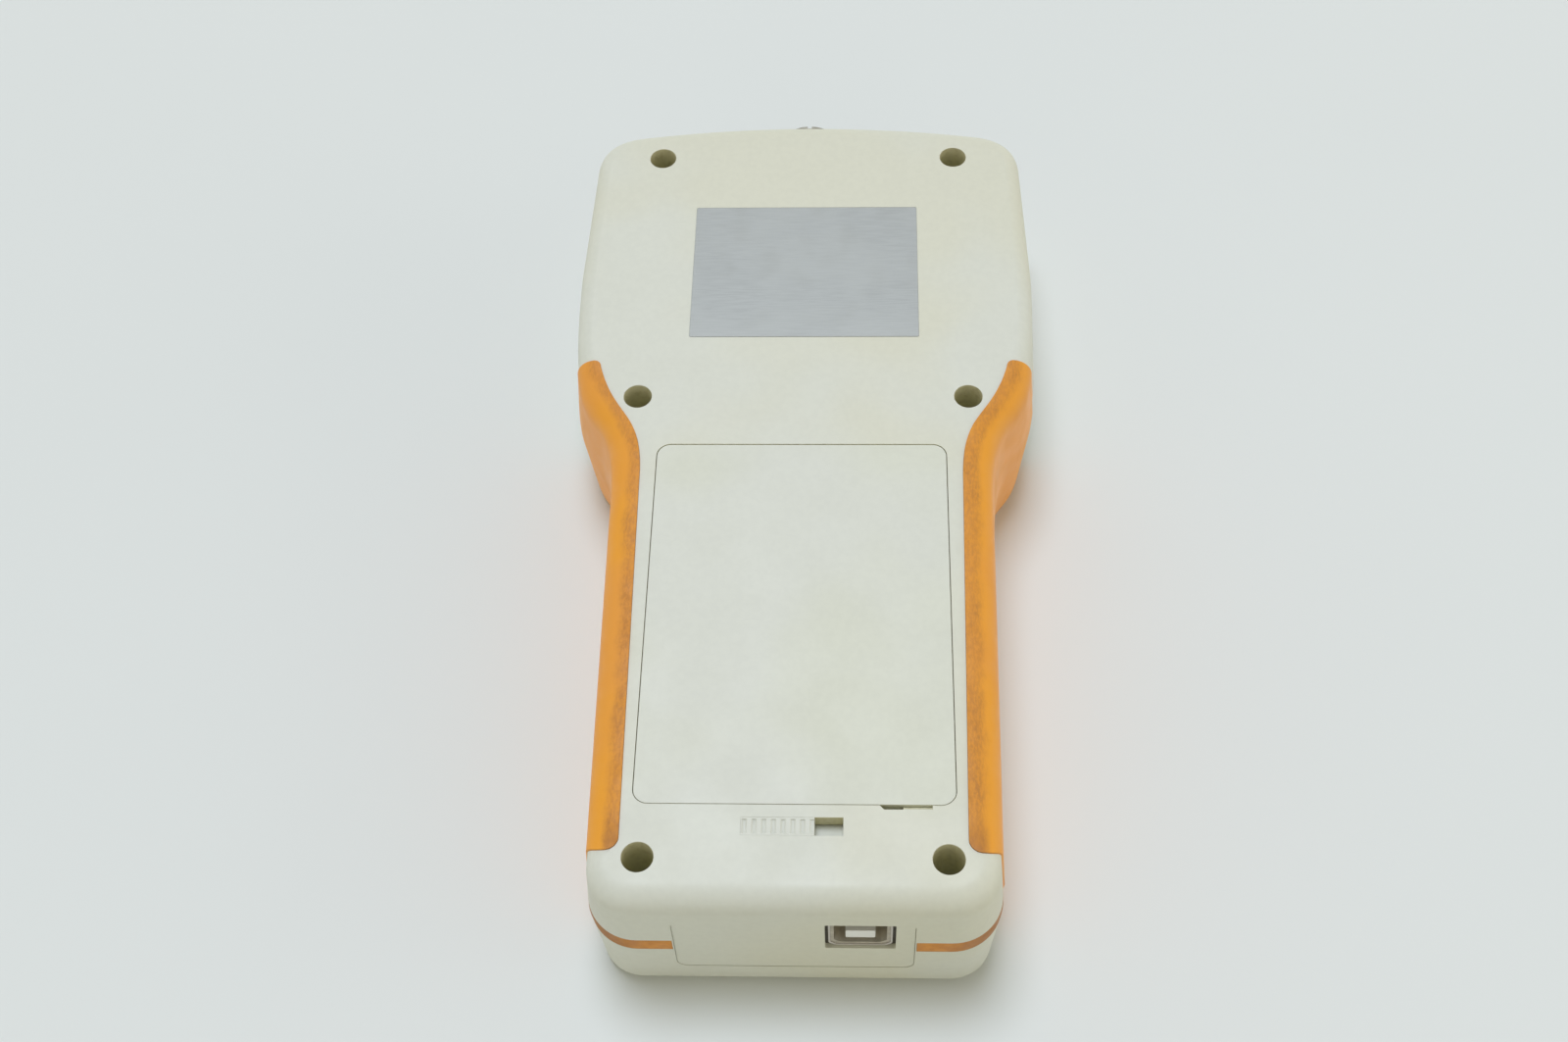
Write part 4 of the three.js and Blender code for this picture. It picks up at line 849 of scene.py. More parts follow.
def label_foil():
    """Bare foil, finely brushed across."""
    made = Finish("rating_label_foil", Metallic=0.35, Roughness=0.42)
    brushed = made.noise(0.35, 3, 0.6, made.place((0.06, 1.0, 1.0)))
    tone = made.mix(made.spread(brushed, 0.35, 0.65), linear(165, 167, 164), linear(158, 160, 157))
    cloud = made.spread(made.noise(22, 2), 0.4, 0.65, 0.0, 0.5)
    made.colour(made.mix(cloud, tone, linear(169, 171, 167)))
    made.uneven(6, 4, 0.38, 0.52)
    made.bump(brushed, 0.004, 0.3)
    return made.material


def board_laminate():
    """Green lacquer with paler tracks."""
    made = Finish("board_laminate", Roughness=0.4)
    traces = made.new(
        "ShaderNodeTexBrick", Vector=made.coords, Scale=1 / (9 * MM), Mortar_Size=0.03,
        Color1=linear(36, 92, 58), Color2=linear(30, 84, 52), Mortar=linear(70, 128, 84),
    )
    made.colour(traces.outputs["Color"])
    made.bump(made.noise(1.0), 0.01, 0.3)
    return made.material


BEIGE, AGED = linear(213, 214, 201), linear(213, 212, 193)
CASE = case_plastic("case_plastic", BEIGE, AGED)
DOOR = case_plastic("door_plastic", linear(213, 214, 202), linear(212, 213, 196))
RECESS_SHADE_WALL = recess_shade_plastic()
GRIP = grip_rubber()
LABEL = label_foil()
STEEL = plain_finish("plated_steel", linear(186, 187, 188), 0.34, 1.0, 2.5)
NICKEL = plain_finish("nickel_plating", linear(176, 172, 160), 0.3, 1.0, 3.0)
BRASS = plain_finish("gold_brass", linear(204, 170, 96), 0.3, 1.0, 2.0)
WHITE = plain_finish("white_insulator", linear(236, 236, 230), 0.45, 0.0, 5.0)
FILM = plain_finish("overlay_film", linear(66, 70, 76), 0.42, 0.0, 12.0)
KEYCAP = plain_finish("pale_keycap", linear(222, 222, 212), 0.5, 0.0, 6.0)
LEGEND = plain_finish("dark_legend", linear(52, 54, 58), 0.6, 0.0, 3.0)
PALE_PRINT = plain_finish("pale_print", linear(196, 198, 196), 0.5, 0.0, 3.0)
SLEEVE = plain_finish("cell_sleeve", linear(58, 62, 70), 0.35, 0.0, 15.0)
DARK = plain_finish("black_housing", linear(44, 46, 50), 0.5, 0.0, 5.0)
GLASS = plain_finish("lcd_glass", linear(138, 150, 132), 0.18, 0.0, 30.0)
CLEAR = plain_finish("clear_window", linear(206, 212, 208), 0.08, 0.0, 20.0, Alpha=0.3)
BOARD = board_laminate()


def dress(piece, material):
    piece.data.materials.clear()
    piece.data.materials.append(material)
    return piece


def numbered(name, count):
    return [name % (i + 1) for i in range(count)]


def carry(piece, body, slot, *nodes):
    """The piece rides on a body and stands for the frame's nodes; slot is not used."""
    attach(piece, body)
    if nodes:
        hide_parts(*nodes)


def fit(piece, body, slot, material, *nodes):
    carry(dress(piece, material), body, slot, *nodes)


# Case shells
def notch_cutter(place):
    (low_x, high_x), reach, depth, slant = place
    low_y, high_y = DOOR_LOW - reach, DOOR_LOW + SEAM / 2
    outline = np.array([
        (low_x + slant, low_y), (high_x, low_y), (high_x, high_y), (low_x, high_y),
    ])
    return prism("notch", outline, CASE_THICKNESS - depth, CASE_THICKNESS + PAST)


def panel_openings():
    outline = rounded((0.0, PARTING), PANEL_HALF, PANEL_CORNER, grow=SLACK)
    return [
        along_y("opening", outline, -PAST, OPENING_DEPTH[0]),
        along_y("opening", outline, CASE_LENGTH - OPENING_DEPTH[1], CASE_LENGTH + PAST),
    ]


def part_of_case(form, low, high):
    """The form between two heights."""
    return carve(form, "INTERSECT", [block("heights", (-60, -5, low), (60, CASE_LENGTH + 5, high))])


DOOR_MIDDLE, DOOR_HALF_LENGTH = (DOOR_LOW + DOOR_HIGH) / 2, (DOOR_HIGH - DOOR_LOW) / 2


def rear_shell():
    shell = part_of_case(case_form("rear_case"), PARTING, CASE_THICKNESS + 5)
    door = rounded((0.0, DOOR_MIDDLE), (DOOR_HALF, DOOR_HALF_LENGTH), DOOR_CORNER)
    tools = [prism("well", circle(place, WELL_RADIUS), WELL_FLOOR, ABOVE) for place in SCREWS]
    tools.append(prism("door_seat", door, DOOR_INNER - SEAM - SLACK, ABOVE))
    tools += [notch_cutter(NOTCH_DEEP), notch_cutter(NOTCH_SHALLOW)]
    low_x, high_x, low_y, high_y = SLOT
    low_z = CASE_THICKNESS - SLOT_DEPTH
    tools.append(block("slot", (low_x, low_y, low_z), (high_x, high_y, ABOVE)))
    seat = rounded((0.0, LABEL_Y), LABEL_HALF, LABEL_CORNER, 3, LABEL_GAP)
    tools.append(prism("label_seat", seat, CASE_THICKNESS - LABEL_SEAT, ABOVE))
    tools += panel_openings()
    tools += [rebate("rebate_right", 1), rebate("rebate_left", -1), hollow_of("rear_shell")]
    carve(shell, "DIFFERENCE", tools)
    return neat(shell, (WELL_ROUNDING, on_well, 3), (BACK_ROUNDING, on_back))


def to_screw(point):
    """How far a point is from the nearest screw, seen from above."""
    return min(math.dist(point[:2], place) for place in SCREWS)


def off_back(a, b):
    """How far the farther end of an edge is from the back face's height."""
    return max(abs(a[2] - CASE_THICKNESS), abs(b[2] - CASE_THICKNESS))


def on_well(a, b):
    return off_back(a, b) < 0.5 and to_screw(a) < WELL_RADIUS + 0.05


def by_slider(point):
    """Round the slot's end where the slider lies at rest."""
    return -12 < point[0] < SLIDER_END + SEAM and SLOT[2] - 0.1 < point[1] < SLOT[3] + 0.1


def on_back(a, b):
    """On the back face, apart from the wells, the label's seat and the slider's edges."""
    if off_back(a, b) >= NEAR or on_well(a, b) or (by_slider(a) and by_slider(b)):
        return False
    return abs(a[1] - LABEL_Y) > LABEL_HALF[1] + 1


def in_recess(point):
    """In a screw well, the latch's slot, a finger notch or the door's seam."""
    x, y, z = point
    if not PARTING + 1 < z < CASE_THICKNESS - 0.2:
        return False
    if to_screw(point) < WELL_RADIUS + 0.4:
        return True
    in_slot = SLOT[0] - 0.3 < x < SLOT[1] + 0.3 and SLOT[2] - 0.3 < y < SLOT[3] + 0.3
    if in_slot and z > CASE_THICKNESS - SLOT_DEPTH - 0.2:
        return True
    if NOTCH_DEEP[0][0] - 0.3 < x < NOTCH_SHALLOW[0][1] + 0.3 and 0 < DOOR_LOW - y < 1.2:
        return True
    return z > DOOR_INNER and on_door_edge(x, y)


def on_door_edge(x, y):
    """On the walls of the seam round the battery door."""
    across, along = DOOR_HALF - abs(x), DOOR_HALF_LENGTH - abs(y - DOOR_MIDDLE)
    if across < DOOR_CORNER and along < DOOR_CORNER:
        return abs(math.hypot(DOOR_CORNER - across, DOOR_CORNER - along) - DOOR_CORNER) < 0.2
    return min(abs(across), abs(along)) < 0.12


def paint(piece, material, where):
    """Gives the faces whose middle is picked a material of their own."""
    piece.data.materials.append(material)
    index = len(piece.data.materials) - 1
    for face in piece.data.polygons:
        if where(in_case(face.center)):
            face.material_index = index


rear = rear_shell()
fit(rear, "case", "case_plastic", CASE, "rear_shell")
# painted shade: the walls of the wells, the slot, the notches and the door's seam take the olive
# shade finish
paint(rear, RECESS_SHADE_WALL, in_recess)


# Front shell
def front_rim():
    return RIM_END + (RIM_GRIP - RIM_END) * grip_share(OUTLINE[:, 1])


def key_places():
    for i in range(KEY_ROWS * KEY_COLUMNS):
        column, row = i % KEY_COLUMNS, i // KEY_COLUMNS
        x = (column - (KEY_COLUMNS - 1) / 2) * KEY_PITCH[0]
        yield i, row, column, (x, KEY_LOW + (KEY_ROWS - 1 - row) * KEY_PITCH[1])


def key_ring(place, grow):
    radius = max(0.3, KEY_CORNER + grow)
    return rounded(place, KEY_HALF, radius, 6, grow)


def window_ring(grow, radius=1.5):
    return rounded((0.0, DISPLAY_Y), WINDOW_HALF, radius, 8, grow)


def front_shell():
    shell = part_of_case(case_form("front_case"), -5, PARTING)
    tools = [prism("recess", inset(OUTLINE, front_rim()), BELOW, RECESS + SLACK)]
    seat = FILM_FACE + LENS_THICKNESS
    tools.append(prism("lens_seat", window_ring(LENS_RIM + LENS_GAP), BELOW, seat + SLACK))
    for _, _, _, place in key_places():
        tools.append(prism("key_hole", key_ring(place, KEY_GAP), BELOW, KEY_HOLE_END))
    tools += panel_openings()
    tools += [rebate("rebate_right", 1), rebate("rebate_left", -1), hollow_of("front_shell")]
    carve(shell, "DIFFERENCE", tools)
    return neat(shell, (FRONT_ROUNDING, lambda a, b: max(a[2], b[2]) < NEAR))


fit(front_shell(), "case", "case_plastic", CASE, "front_shell")


# Side grips
def on_strip(a, b):
    """On the flush strip, whose edges stay crisp; the proud part's edges are rounder."""
    along = max(a[1], b[1]) < GRIP_LOW or min(a[1], b[1]) > GRIP_TIP
    seams = [abs(abs(p[2] - PARTING) - STRIP_HEIGHT / 2) < 0.02 for p in (a, b)]
    return along or all(seams)


def side_grip(name, side):
    grip = carve(case_form(name, -GRIP_PROUD), "INTERSECT", [grip_side("side", side, 0.0)])
    part_of_case(grip, 0, CASE_THICKNESS + 5)
    strip = carve(case_form("strip_form"), "INTERSECT", [grip_strip("strip", side, 0.0)])
    carve(grip, "UNION", [strip])
    carve(grip, "DIFFERENCE", [case_form("core", GRIP_THICKNESS)] + panel_openings())
    roundings = (STRIP_ROUNDING, on_strip), (GRIP_ROUNDING, lambda a, b: not on_strip(a, b), 3)
    return neat(grip, *roundings, angle=38.0)


fit(side_grip("right_grip_rubber", 1), "case", "grip_rubber", GRIP, "grip_right")
fit(side_grip("left_grip_rubber", -1), "case", "grip_rubber", GRIP, "grip_left")


# Battery door
def battery_door():
    half, corner = (DOOR_HALF, DOOR_HALF_LENGTH), DOOR_CORNER - DOOR_SEAM
    outline = rounded((0.0, DOOR_MIDDLE), half, corner, grow=-DOOR_SEAM)
    door = prism("door_plate", outline, DOOR_INNER, CASE_THICKNESS)
    axis = DOOR_HIGH - SEAM
    inside = DOOR_INNER + 1  # what is added reaches this far into the plate
    added = []
    for x in (-HOOK_X, HOOK_X):
        low = (x - HOOK_WIDTH / 2, axis - HOOK_WEB, HOOK_TOP - HOOK_THICKNESS)
        high = x + HOOK_WIDTH / 2
        added.append(block("arm", low, (high, axis + HOOK_REACH, HOOK_TOP)))
        added.append(block("web", low, (high, axis, inside)))
    low_y, low_z = DOOR_LOW + 2 * SEAM, LATCH_LOW - SEAM - CATCH_FOOT_THICKNESS
    tab_y = low_y + CATCH_FOOT
    added.append(block("tab", (CATCH[0], tab_y, low_z), (CATCH[1], tab_y + CATCH_TAB, inside)))
    added.append(
        block("foot", (CATCH[0], low_y, low_z), (CATCH[1], tab_y + CATCH_TAB, LATCH_LOW - SEAM))
    )
    carve(door, "UNION", added)
    return neat(door, (DOOR_ROUNDING, lambda a, b: min(a[2], b[2]) > CASE_THICKNESS - NEAR))


fit(battery_door(), "battery_door", "case_plastic", DOOR, "battery_door")


# Geometry Nodes
class Steps(Nodes):
    """A Geometry Nodes tree, with short words for its nodes and sizes in millimetres."""

    def __init__(self, name, **sizes):
        """Whole numbers are counts; the other sizes are lengths, and inputs of the tree."""
        self.tree = bpy.data.node_groups.new(name, "GeometryNodeTree")
        new = self.tree.interface.new_socket
        new("Places", in_out="INPUT", socket_type="NodeSocketGeometry")
        new("Result", in_out="OUTPUT", socket_type="NodeSocketGeometry")
        for key, value in sizes.items():
            kind = "NodeSocketInt" if isinstance(value, int) else "NodeSocketFloat"
            socket = new(self.title(key), in_out="INPUT", socket_type=kind)
            socket.default_value = value if isinstance(value, int) else value * MM
        self.given = self.tree.nodes.new("NodeGroupInput").outputs
        self.result = self.tree.nodes.new("NodeGroupOutput").inputs[0]

    @staticmethod
    def title(key):
        return key.replace("_", " ").capitalize()

    def size(self, key):
        return self.given[self.title(key)]

    def add(self, kind, settings=None, **values):
        return self.new("GeometryNode" + kind, settings, **values).outputs[0]

    def vector(self, x=0.0, y=0.0, z=0.0):
        return self.filled(("ShaderNodeCombineXYZ",), x, y, z)

    def moved(self, shape, turn=(0.0, 0.0, 0.0), **shift):
        """The shape, turned and then shifted."""
        shift = self.vector(**shift)
        return self.add("Transform", Geometry=shape, Translation=shift, Rotation=turn)

    def row(self, shape):
        """The shape set side by side along x, by the tree's own count and pitch."""
        step = self.vector(x=self.size("pitch"))
        line = self.add("MeshLine", Count=self.size("count"), Start_Location=(0, 0, 0), Offset=step)
        return self.add("InstanceOnPoints", Points=line, Instance=shape)

    def end(self, shape, material):
        """Sets the shape on every place, turned as the places say, and finishes the tree."""
        turns = self.add("InputNamedAttribute", {"data_type": "FLOAT_VECTOR"}, Name="turn")
        places = self.given["Places"]
        copies = self.add("InstanceOnPoints", Points=places, Instance=shape, Rotation=turns)
        real = self.add("RealizeInstances", Geometry=copies)
        self.tree.links.new(self.add("SetMaterial", Geometry=real, Material=material), self.result)

    def grow(self, name, places, turns=None):
        """A plain mesh of the tree's result at the places, given in the case's frame."""
        piece = solid_from(name, places, [])
        turn = piece.data.attributes.new("turn", "FLOAT_VECTOR", "POINT")
        for item, value in zip(turn.data, turns or [(0, 0, 0)] * len(places)):
            item.vector = value
        change = piece.modifiers.new(name, "NODES")
        change.node_group = self.tree
        bake(piece)
        return piece


def screw_steps():
    """A screw that stands on its place, head up: shank, domed head and a cross recess."""
    made = Steps(
        "cross_recess_screw", head_radius=2.7, head_height=2.0, head_edge=0.5,
        shank_radius=1.5, shank_length=12.0, recess_width=0.75, recess_length=3.2, recess_depth=1.1,
    )
    size = made.size
    flank = made.math("SUBTRACT", size("head_height"), size("head_edge"))
    wide = size("head_radius")
    drum = made.add("MeshCylinder", Vertices=40, Radius=wide, Depth=flank)
    drum = made.moved(drum, z=made.times(flank, 0.5))
    brim = made.math("SUBTRACT", wide, size("head_edge"))
    crown = made.add(
        "MeshCone", Vertices=40, Radius_Bottom=wide, Radius_Top=brim, Depth=size("head_edge"),
    )
    crown = made.moved(crown, z=flank)
    bars = []
    for turn in (0.0, math.pi / 2):
        bar = made.vector(size("recess_length"), size("recess_width"), size("recess_depth"))
        bar = made.add("MeshCube", Size=bar)
        rest = made.plus(size("head_height"), made.times(size("recess_depth"), -0.49))
        bars.append(made.moved(bar, (0.0, 0.0, turn), z=rest))
    head = made.add("MeshBoolean", {"operation": "UNION"}, Mesh_2=[drum, crown])
    head = made.add("MeshBoolean", {"operation": "DIFFERENCE"}, Mesh_1=head, Mesh_2=bars)
    shank = made.add(
        "MeshCylinder", Vertices=24, Radius=size("shank_radius"), Depth=size("shank_length"),
    )
    shank = made.moved(shank, z=made.times(size("shank_length"), -0.495))
    made.end(made.add("JoinGeometry", Geometry=[head, shank]), STEEL)
    return made


SCREW = screw_steps()
turns = [(0.0, 0.0, math.radians(17 + 41 * i)) for i in range(len(SCREWS))]
case_screws = SCREW.grow("case_screws_cross", [(x, y, WELL_FLOOR) for x, y in SCREWS], turns)
smooth(case_screws, 30, False)
carry(case_screws, "case", "plain_steel", *numbered("case_screw_%d", 6))


# Door latch
def groove_steps():
    """A row of small rods that press the finger grooves into the slider as shallow valleys."""
    made = Steps(
        "latch_grooves", count=GROOVES, pitch=GROOVE_PITCH, radius=0.55, length=2.9, lift=0.25,
    )
    size = made.size
    rod = made.add("MeshCylinder", Vertices=20, Radius=size("radius"), Depth=size("length"))
    rod = made.moved(rod, (math.pi / 2, 0.0, 0.0), z=size("lift"))
    made.end(made.row(rod), WHITE)
    return made


def door_latch():
    low_y, high_y = SLOT[2] + SLIDER_GAP, SLOT[3] - SLIDER_GAP
    low = (SLOT[0] + SLIDER_GAP, low_y, LATCH_LOW)
    slider = block("latch_slider", low, (SLIDER_END, high_y, CASE_THICKNESS - SLIDER_DROP))
    below = [
        block(name, (low_x, near_y, LATCH_LOW), (high_x, far_y, LATCH_TOP))
        for name, (low_x, high_x, near_y, far_y) in (("plate", PLATE), ("tongue", TONGUE))
    ]
    carve(slider, "UNION", below)
    first = (SLOT[0] + SEAM + SLIDER_END - (GROOVES - 1) * GROOVE_PITCH) / 2
    grooves = groove_steps().grow("grooves", [(first, (low_y + high_y) / 2, CASE_THICKNESS)])
    carve(slider, "DIFFERENCE", [grooves])

    def on_rim(a, b):
        sides = any(max(abs(a[1] - y), abs(b[1] - y)) < NEAR for y in (low_y, high_y))
        return sides or max(a[0], b[0]) < SLOT[0] + 0.1

    def on_top(a, b):
        return min(a[2], b[2]) > CASE_THICKNESS - 0.5 and not on_rim(a, b)

    return neat(slider, (SLIDER_ROUNDING, on_top), angle=50, weighted=False)


fit(door_latch(), "door_latch", "case_plastic", DOOR, "door_latch")


# Label, bare
def rating_label():
    outline = rounded((0.0, LABEL_Y), LABEL_HALF, LABEL_CORNER, 4)
    low, high = CASE_THICKNESS - LABEL_SEAT, CASE_THICKNESS + LABEL_PROUD
    label = prism("bare_label", outline, low, high)
    return neat(label, (0.04, lambda a, b: min(a[2], b[2]) > CASE_THICKNESS, 1))


fit(rating_label(), "case", "label_foil", LABEL, "rating_label")


# End panels
def end_panel(name, face_y, inwards):
    half = (PANEL_HALF[0] - PANEL_SEAM, PANEL_HALF[1] - PANEL_SEAM / 2)
    outline = rounded((0.0, PARTING + PANEL_SEAM / 2), half, PANEL_CORNER - PANEL_SEAM)
    ends = sorted((face_y, face_y + inwards * PANEL_FACE))
    panel = along_y(name, outline, *ends)
    outline = rounded((0.0, PARTING), PANEL_HALF, PANEL_CORNER, grow=FLANGE)
    ends = sorted((face_y + inwards * FLANGE_NEAR, face_y + inwards * FLANGE_FAR))
    return carve(panel, "UNION", [along_y("flange", outline, *ends)])


USB_X, USB_Z = 12.4, 22.35
USB_HALF = (6.02, 5.15)
USB_CHAMFER = 1.1
USB_CORNER = 0.6
USB_WALL = 0.4
USB_FRONT, USB_BACK = 0.9, 16.9
USB_GAP = (0.6, 0.06, 0.3)  # the panel's cut round the socket: beside, below and above it
USB_CUT_CORNER = 0.35
USB_INNER_CORNER = 0.3
USB_TONGUE_Z, USB_TONGUE_HALF = USB_Z - 0.2, (2.8, 1.6)
USB_TONGUE_FRONT = USB_FRONT + 0.15
USB_BASE = USB_BACK - 4
BLADE_PITCH, BLADE_MIDDLE = 2.5, USB_FRONT + 5.5
GAP_SHADE_ENDS = (1.3, 2.4)
BOTTOM_FACE = 0.3
PANEL_ROUNDING, PANEL_ROUNDED_BELOW = 0.2, 28.0


def usb_opening(shrink):
    """The outline of the panel's cut for the data socket, drawn in by shrink."""
    half_x = USB_HALF[0] + USB_GAP[0] - shrink
    low, high = USB_Z - USB_HALF[1] - USB_GAP[1] + shrink, USB_Z + USB_HALF[1] + USB_GAP[2] - shrink
    left, right = USB_X - half_x, USB_X + half_x
    corners = [(left, low), (right, low), (right, high), (left, high)]
    return round_corners(corners, USB_CUT_CORNER)


def bottom_panel():
    panel = end_panel("bottom_end_panel", BOTTOM_FACE, 1)
    carve(panel, "DIFFERENCE", [along_y("usb_cut", usb_opening(0.0), -PAST, 5.0)])

    def on_face(a, b):
        return max(a[1], b[1]) < BOTTOM_FACE + NEAR and min(a[2], b[2]) < PANEL_ROUNDED_BELOW

    return neat(panel, (PANEL_ROUNDING, on_face))


TOP_FACE = CASE_LENGTH - 2.4
TIP = CASE_LENGTH + 7.3
SOCKET_RADIUS, SOCKET_BORE = 7.9, 5.9
THREAD_PITCH, THREAD_DEPTH, THREAD_SIDES = 1.06, 0.55, 96
THREAD_STEPS = 7  # rings a turn
SHOULDER_Y, SHOULDER, SHOULDER_RADIUS = TOP_FACE - 2.6, 2.0, 9.5  # behind the end panel
TAIL, TAIL_RADIUS = 7.0, 7.2
RIM, RIM_NOTCH = 0.8, 0.5  # depth of the rim's notches and half their width
NUT_RADIUS, NUT_HEIGHT = 10.3, 2.4
MOUTH = TIP - 8.0
PIN_RADIUS, PIN_BORE, PIN_TAIL = 2.9, 2.05, 3.5


def top_panel():
    panel = end_panel("top_end_panel", TOP_FACE, -1)
    low, radius = TOP_FACE - 6, SOCKET_RADIUS + SEAM
    hole = [(0.0, low), (radius, low), (radius, TIP), (0.0, TIP)]
    carve(panel, "DIFFERENCE", [turned_y("hole", hole, PARTING)])
    return neat(panel, (0.12, lambda a, b: min(a[1], b[1]) > TOP_FACE - NEAR))


fit(bottom_panel(), "case", "case_plastic", CASE, "end_panel_bottom")
fit(top_panel(), "case", "case_plastic", CASE, "end_panel_top")


# Square data socket
def usb_outline(shrink, radius):
    half_x, half_z, cut = USB_HALF[0] - shrink, USB_HALF[1] - shrink, USB_CHAMFER
    corners = [
        (-half_x + cut, -half_z), (half_x - cut, -half_z), (half_x, -half_z + cut),
        (half_x, half_z), (-half_x, half_z), (-half_x, -half_z + cut),
    ]
    return round_corners(corners, radius) + (USB_X, USB_Z)


def usb_shell():
    shell = along_y("usb_sheet_shell", usb_outline(0.0, USB_CORNER), USB_FRONT, USB_BACK)
    inner = usb_outline(USB_WALL, USB_CORNER - 0.25)
    tools = [along_y("inner", inner, USB_FRONT - 1, USB_BACK + 1)]
    for x in (USB_X - USB_HALF[0], USB_X + USB_HALF[0]):
        for z in (USB_Z - 1.4, USB_Z + 1.6):
            low, high = (x - 1, USB_FRONT + 2.2, z), (x + 1, USB_FRONT + 9.0, z + 0.3)
            tools.append(block("spring_slot", low, high))
    carve(shell, "DIFFERENCE", tools)
    clean(shell)
    soften(shell, 0.09, lambda a, b: max(a[1], b[1]) < USB_FRONT + NEAR)
    dress(shell, TIN)
    # painted shade: a dark ring fills the gap round the socket and stands for the shadow in it
    gap_shade_ring = along_y("gap_shade_ring", usb_opening(SLACK), *GAP_SHADE_ENDS)
    carve(gap_shade_ring, "DIFFERENCE", [along_y("inside", usb_outline(-SLACK, USB_CORNER), 0.0, 4.0)])
    clean(gap_shade_ring)
    join(shell, [gap_shade_ring], GAP_SHADE_FINISH)
    return smooth(shell)


def contact_steps():
    """Flat contact blades side by side."""
    made = Steps(
        "socket_contacts", count=2, pitch=BLADE_PITCH, width=1.1, length=7.5, height=0.16,
    )
    size = made.size
    blade = made.add("MeshCube", Size=made.vector(size("width"), size("length"), size("height")))
    made.end(made.row(blade), BRASS)
    return made


def usb_tongue():
    base = along_y("usb_tongue_insulator", usb_outline(0.7, USB_INNER_CORNER), USB_BASE, USB_BACK)
    outline = rounded((USB_X, USB_TONGUE_Z), USB_TONGUE_HALF, USB_INNER_CORNER, 4)
    carve(base, "UNION", [along_y("tongue", outline, USB_TONGUE_FRONT, USB_BACK - 2)])
    dress(neat(base, (0.15, lambda a, b: max(a[1], b[1]) < USB_TONGUE_FRONT + NEAR)), WHITE)
    lining = usb_outline(USB_WALL + SLACK, USB_INNER_CORNER)
    lining = along_y("lining", lining, USB_FRONT + 0.25, USB_BASE + 0.1)
    inside = along_y("inside", usb_outline(1.05, USB_INNER_CORNER), 0.0, USB_BACK)
    join(base, [neat(carve(lining, "DIFFERENCE", [inside]))], LINING)
    places = [
        (USB_X - BLADE_PITCH / 2, BLADE_MIDDLE, USB_TONGUE_Z + side * USB_TONGUE_HALF[1])
        for side in (1, -1)
    ]
    return join(base, [contact_steps().grow("blades", places)], BRASS)


def lining_plastic():
    """The socket's plastic lining: pale at the mouth, with painted shade deeper inside."""
    made = Finish("socket_lining_with_painted_shade", Roughness=0.6)
    # painted shade: a little darker and yellower past the first millimetres inside
    inwards = made.spread(made.axis("Y"), END_Y + 1.4 * MM, END_Y + 2.6 * MM)
    tone = made.mix(inwards, linear(208, 202, 186), linear(206, 196, 172))
    made.colour(made.mix(made.noise(2.0, 3), tone, linear(140, 132, 116)))
    made.bump(made.noise(0.5), 0.01, 0.4)
    return made.material


LINING = lining_plastic()
# painted shade: the colour of the shadow in the gap round the socket
GAP_SHADE_FINISH = plain_finish("socket_gap_painted_shade", linear(70, 64, 52), 0.7, 0.0, 3.0)
TIN = plain_finish("tinned_sheet", linear(204, 198, 190), 0.5, 0.35, 2.5, 0.02)
carry(usb_shell(), "case", "plain_steel", "usb_shell")
carry(usb_tongue(), "case", "socket_insulator", "usb_tongue")


# Antenna socket
def crossed(name, half_width, reach, low, high):
    """Two blades along y that cross on the socket's axis, to cut slits and notches with."""
    z = PARTING
    return [
        block(name, (-half_width, low, z - reach), (half_width, high, z + reach)),
        block(name, (-reach, low, z - half_width), (reach, high, z + half_width)),
    ]


def socket_barrel():
    """The barrel with its helical thread, drawn as rings of radii along y."""
    turns = np.arange(THREAD_SIDES) * (2 * math.pi / THREAD_SIDES)
    root, crest = SOCKET_RADIUS - THREAD_DEPTH, SOCKET_RADIUS
    thread_low, thread_high = TOP_FACE - 1.0, TIP - 1.0
    tail_y, shoulder_y = SHOULDER_Y - TAIL, SHOULDER_Y - SHOULDER
    rings = [
        (SOCKET_BORE, tail_y), (TAIL_RADIUS, tail_y), (TAIL_RADIUS, shoulder_y),
        (SHOULDER_RADIUS, shoulder_y), (SHOULDER_RADIUS, SHOULDER_Y), (root, SHOULDER_Y),
        (root, thread_low - 0.4),
    ]
    for y in np.arange(thread_low, thread_high, THREAD_PITCH / THREAD_STEPS):
        along = (y - thread_low) / THREAD_PITCH
        share = np.mod(along - turns / (2 * math.pi), 1.0)
        wave = np.clip(1.35 * (1 - np.abs(2 * share - 1)) - 0.12, 0, 1)
        fade = min(1.0, along, (thread_high - y) / (0.6 * THREAD_PITCH))
        rings.append((root + (crest - root) * wave * max(0.0, fade), y))
    rings += [
        (root, TIP - 0.95), (crest - 0.2, TIP - RIM), (crest - 0.2, TIP - 0.15),
        (crest - 0.35, TIP), (SOCKET_BORE + 0.3, TIP), (SOCKET_BORE, TIP - 0.3),
    ]
    points = []
    for radii, y in rings:
        x, z = radii * np.cos(turns), PARTING + radii * np.sin(turns)
        points += zip(x, np.full(THREAD_SIDES, y), z)
    barrel = closed_tube("threaded_barrel", points, len(rings), THREAD_SIDES)
    carve(barrel, "DIFFERENCE", crossed("notch", RIM_NOTCH, 12, TIP - RIM, TIP + 1))
    return neat(barrel, angle=35, weighted=False)


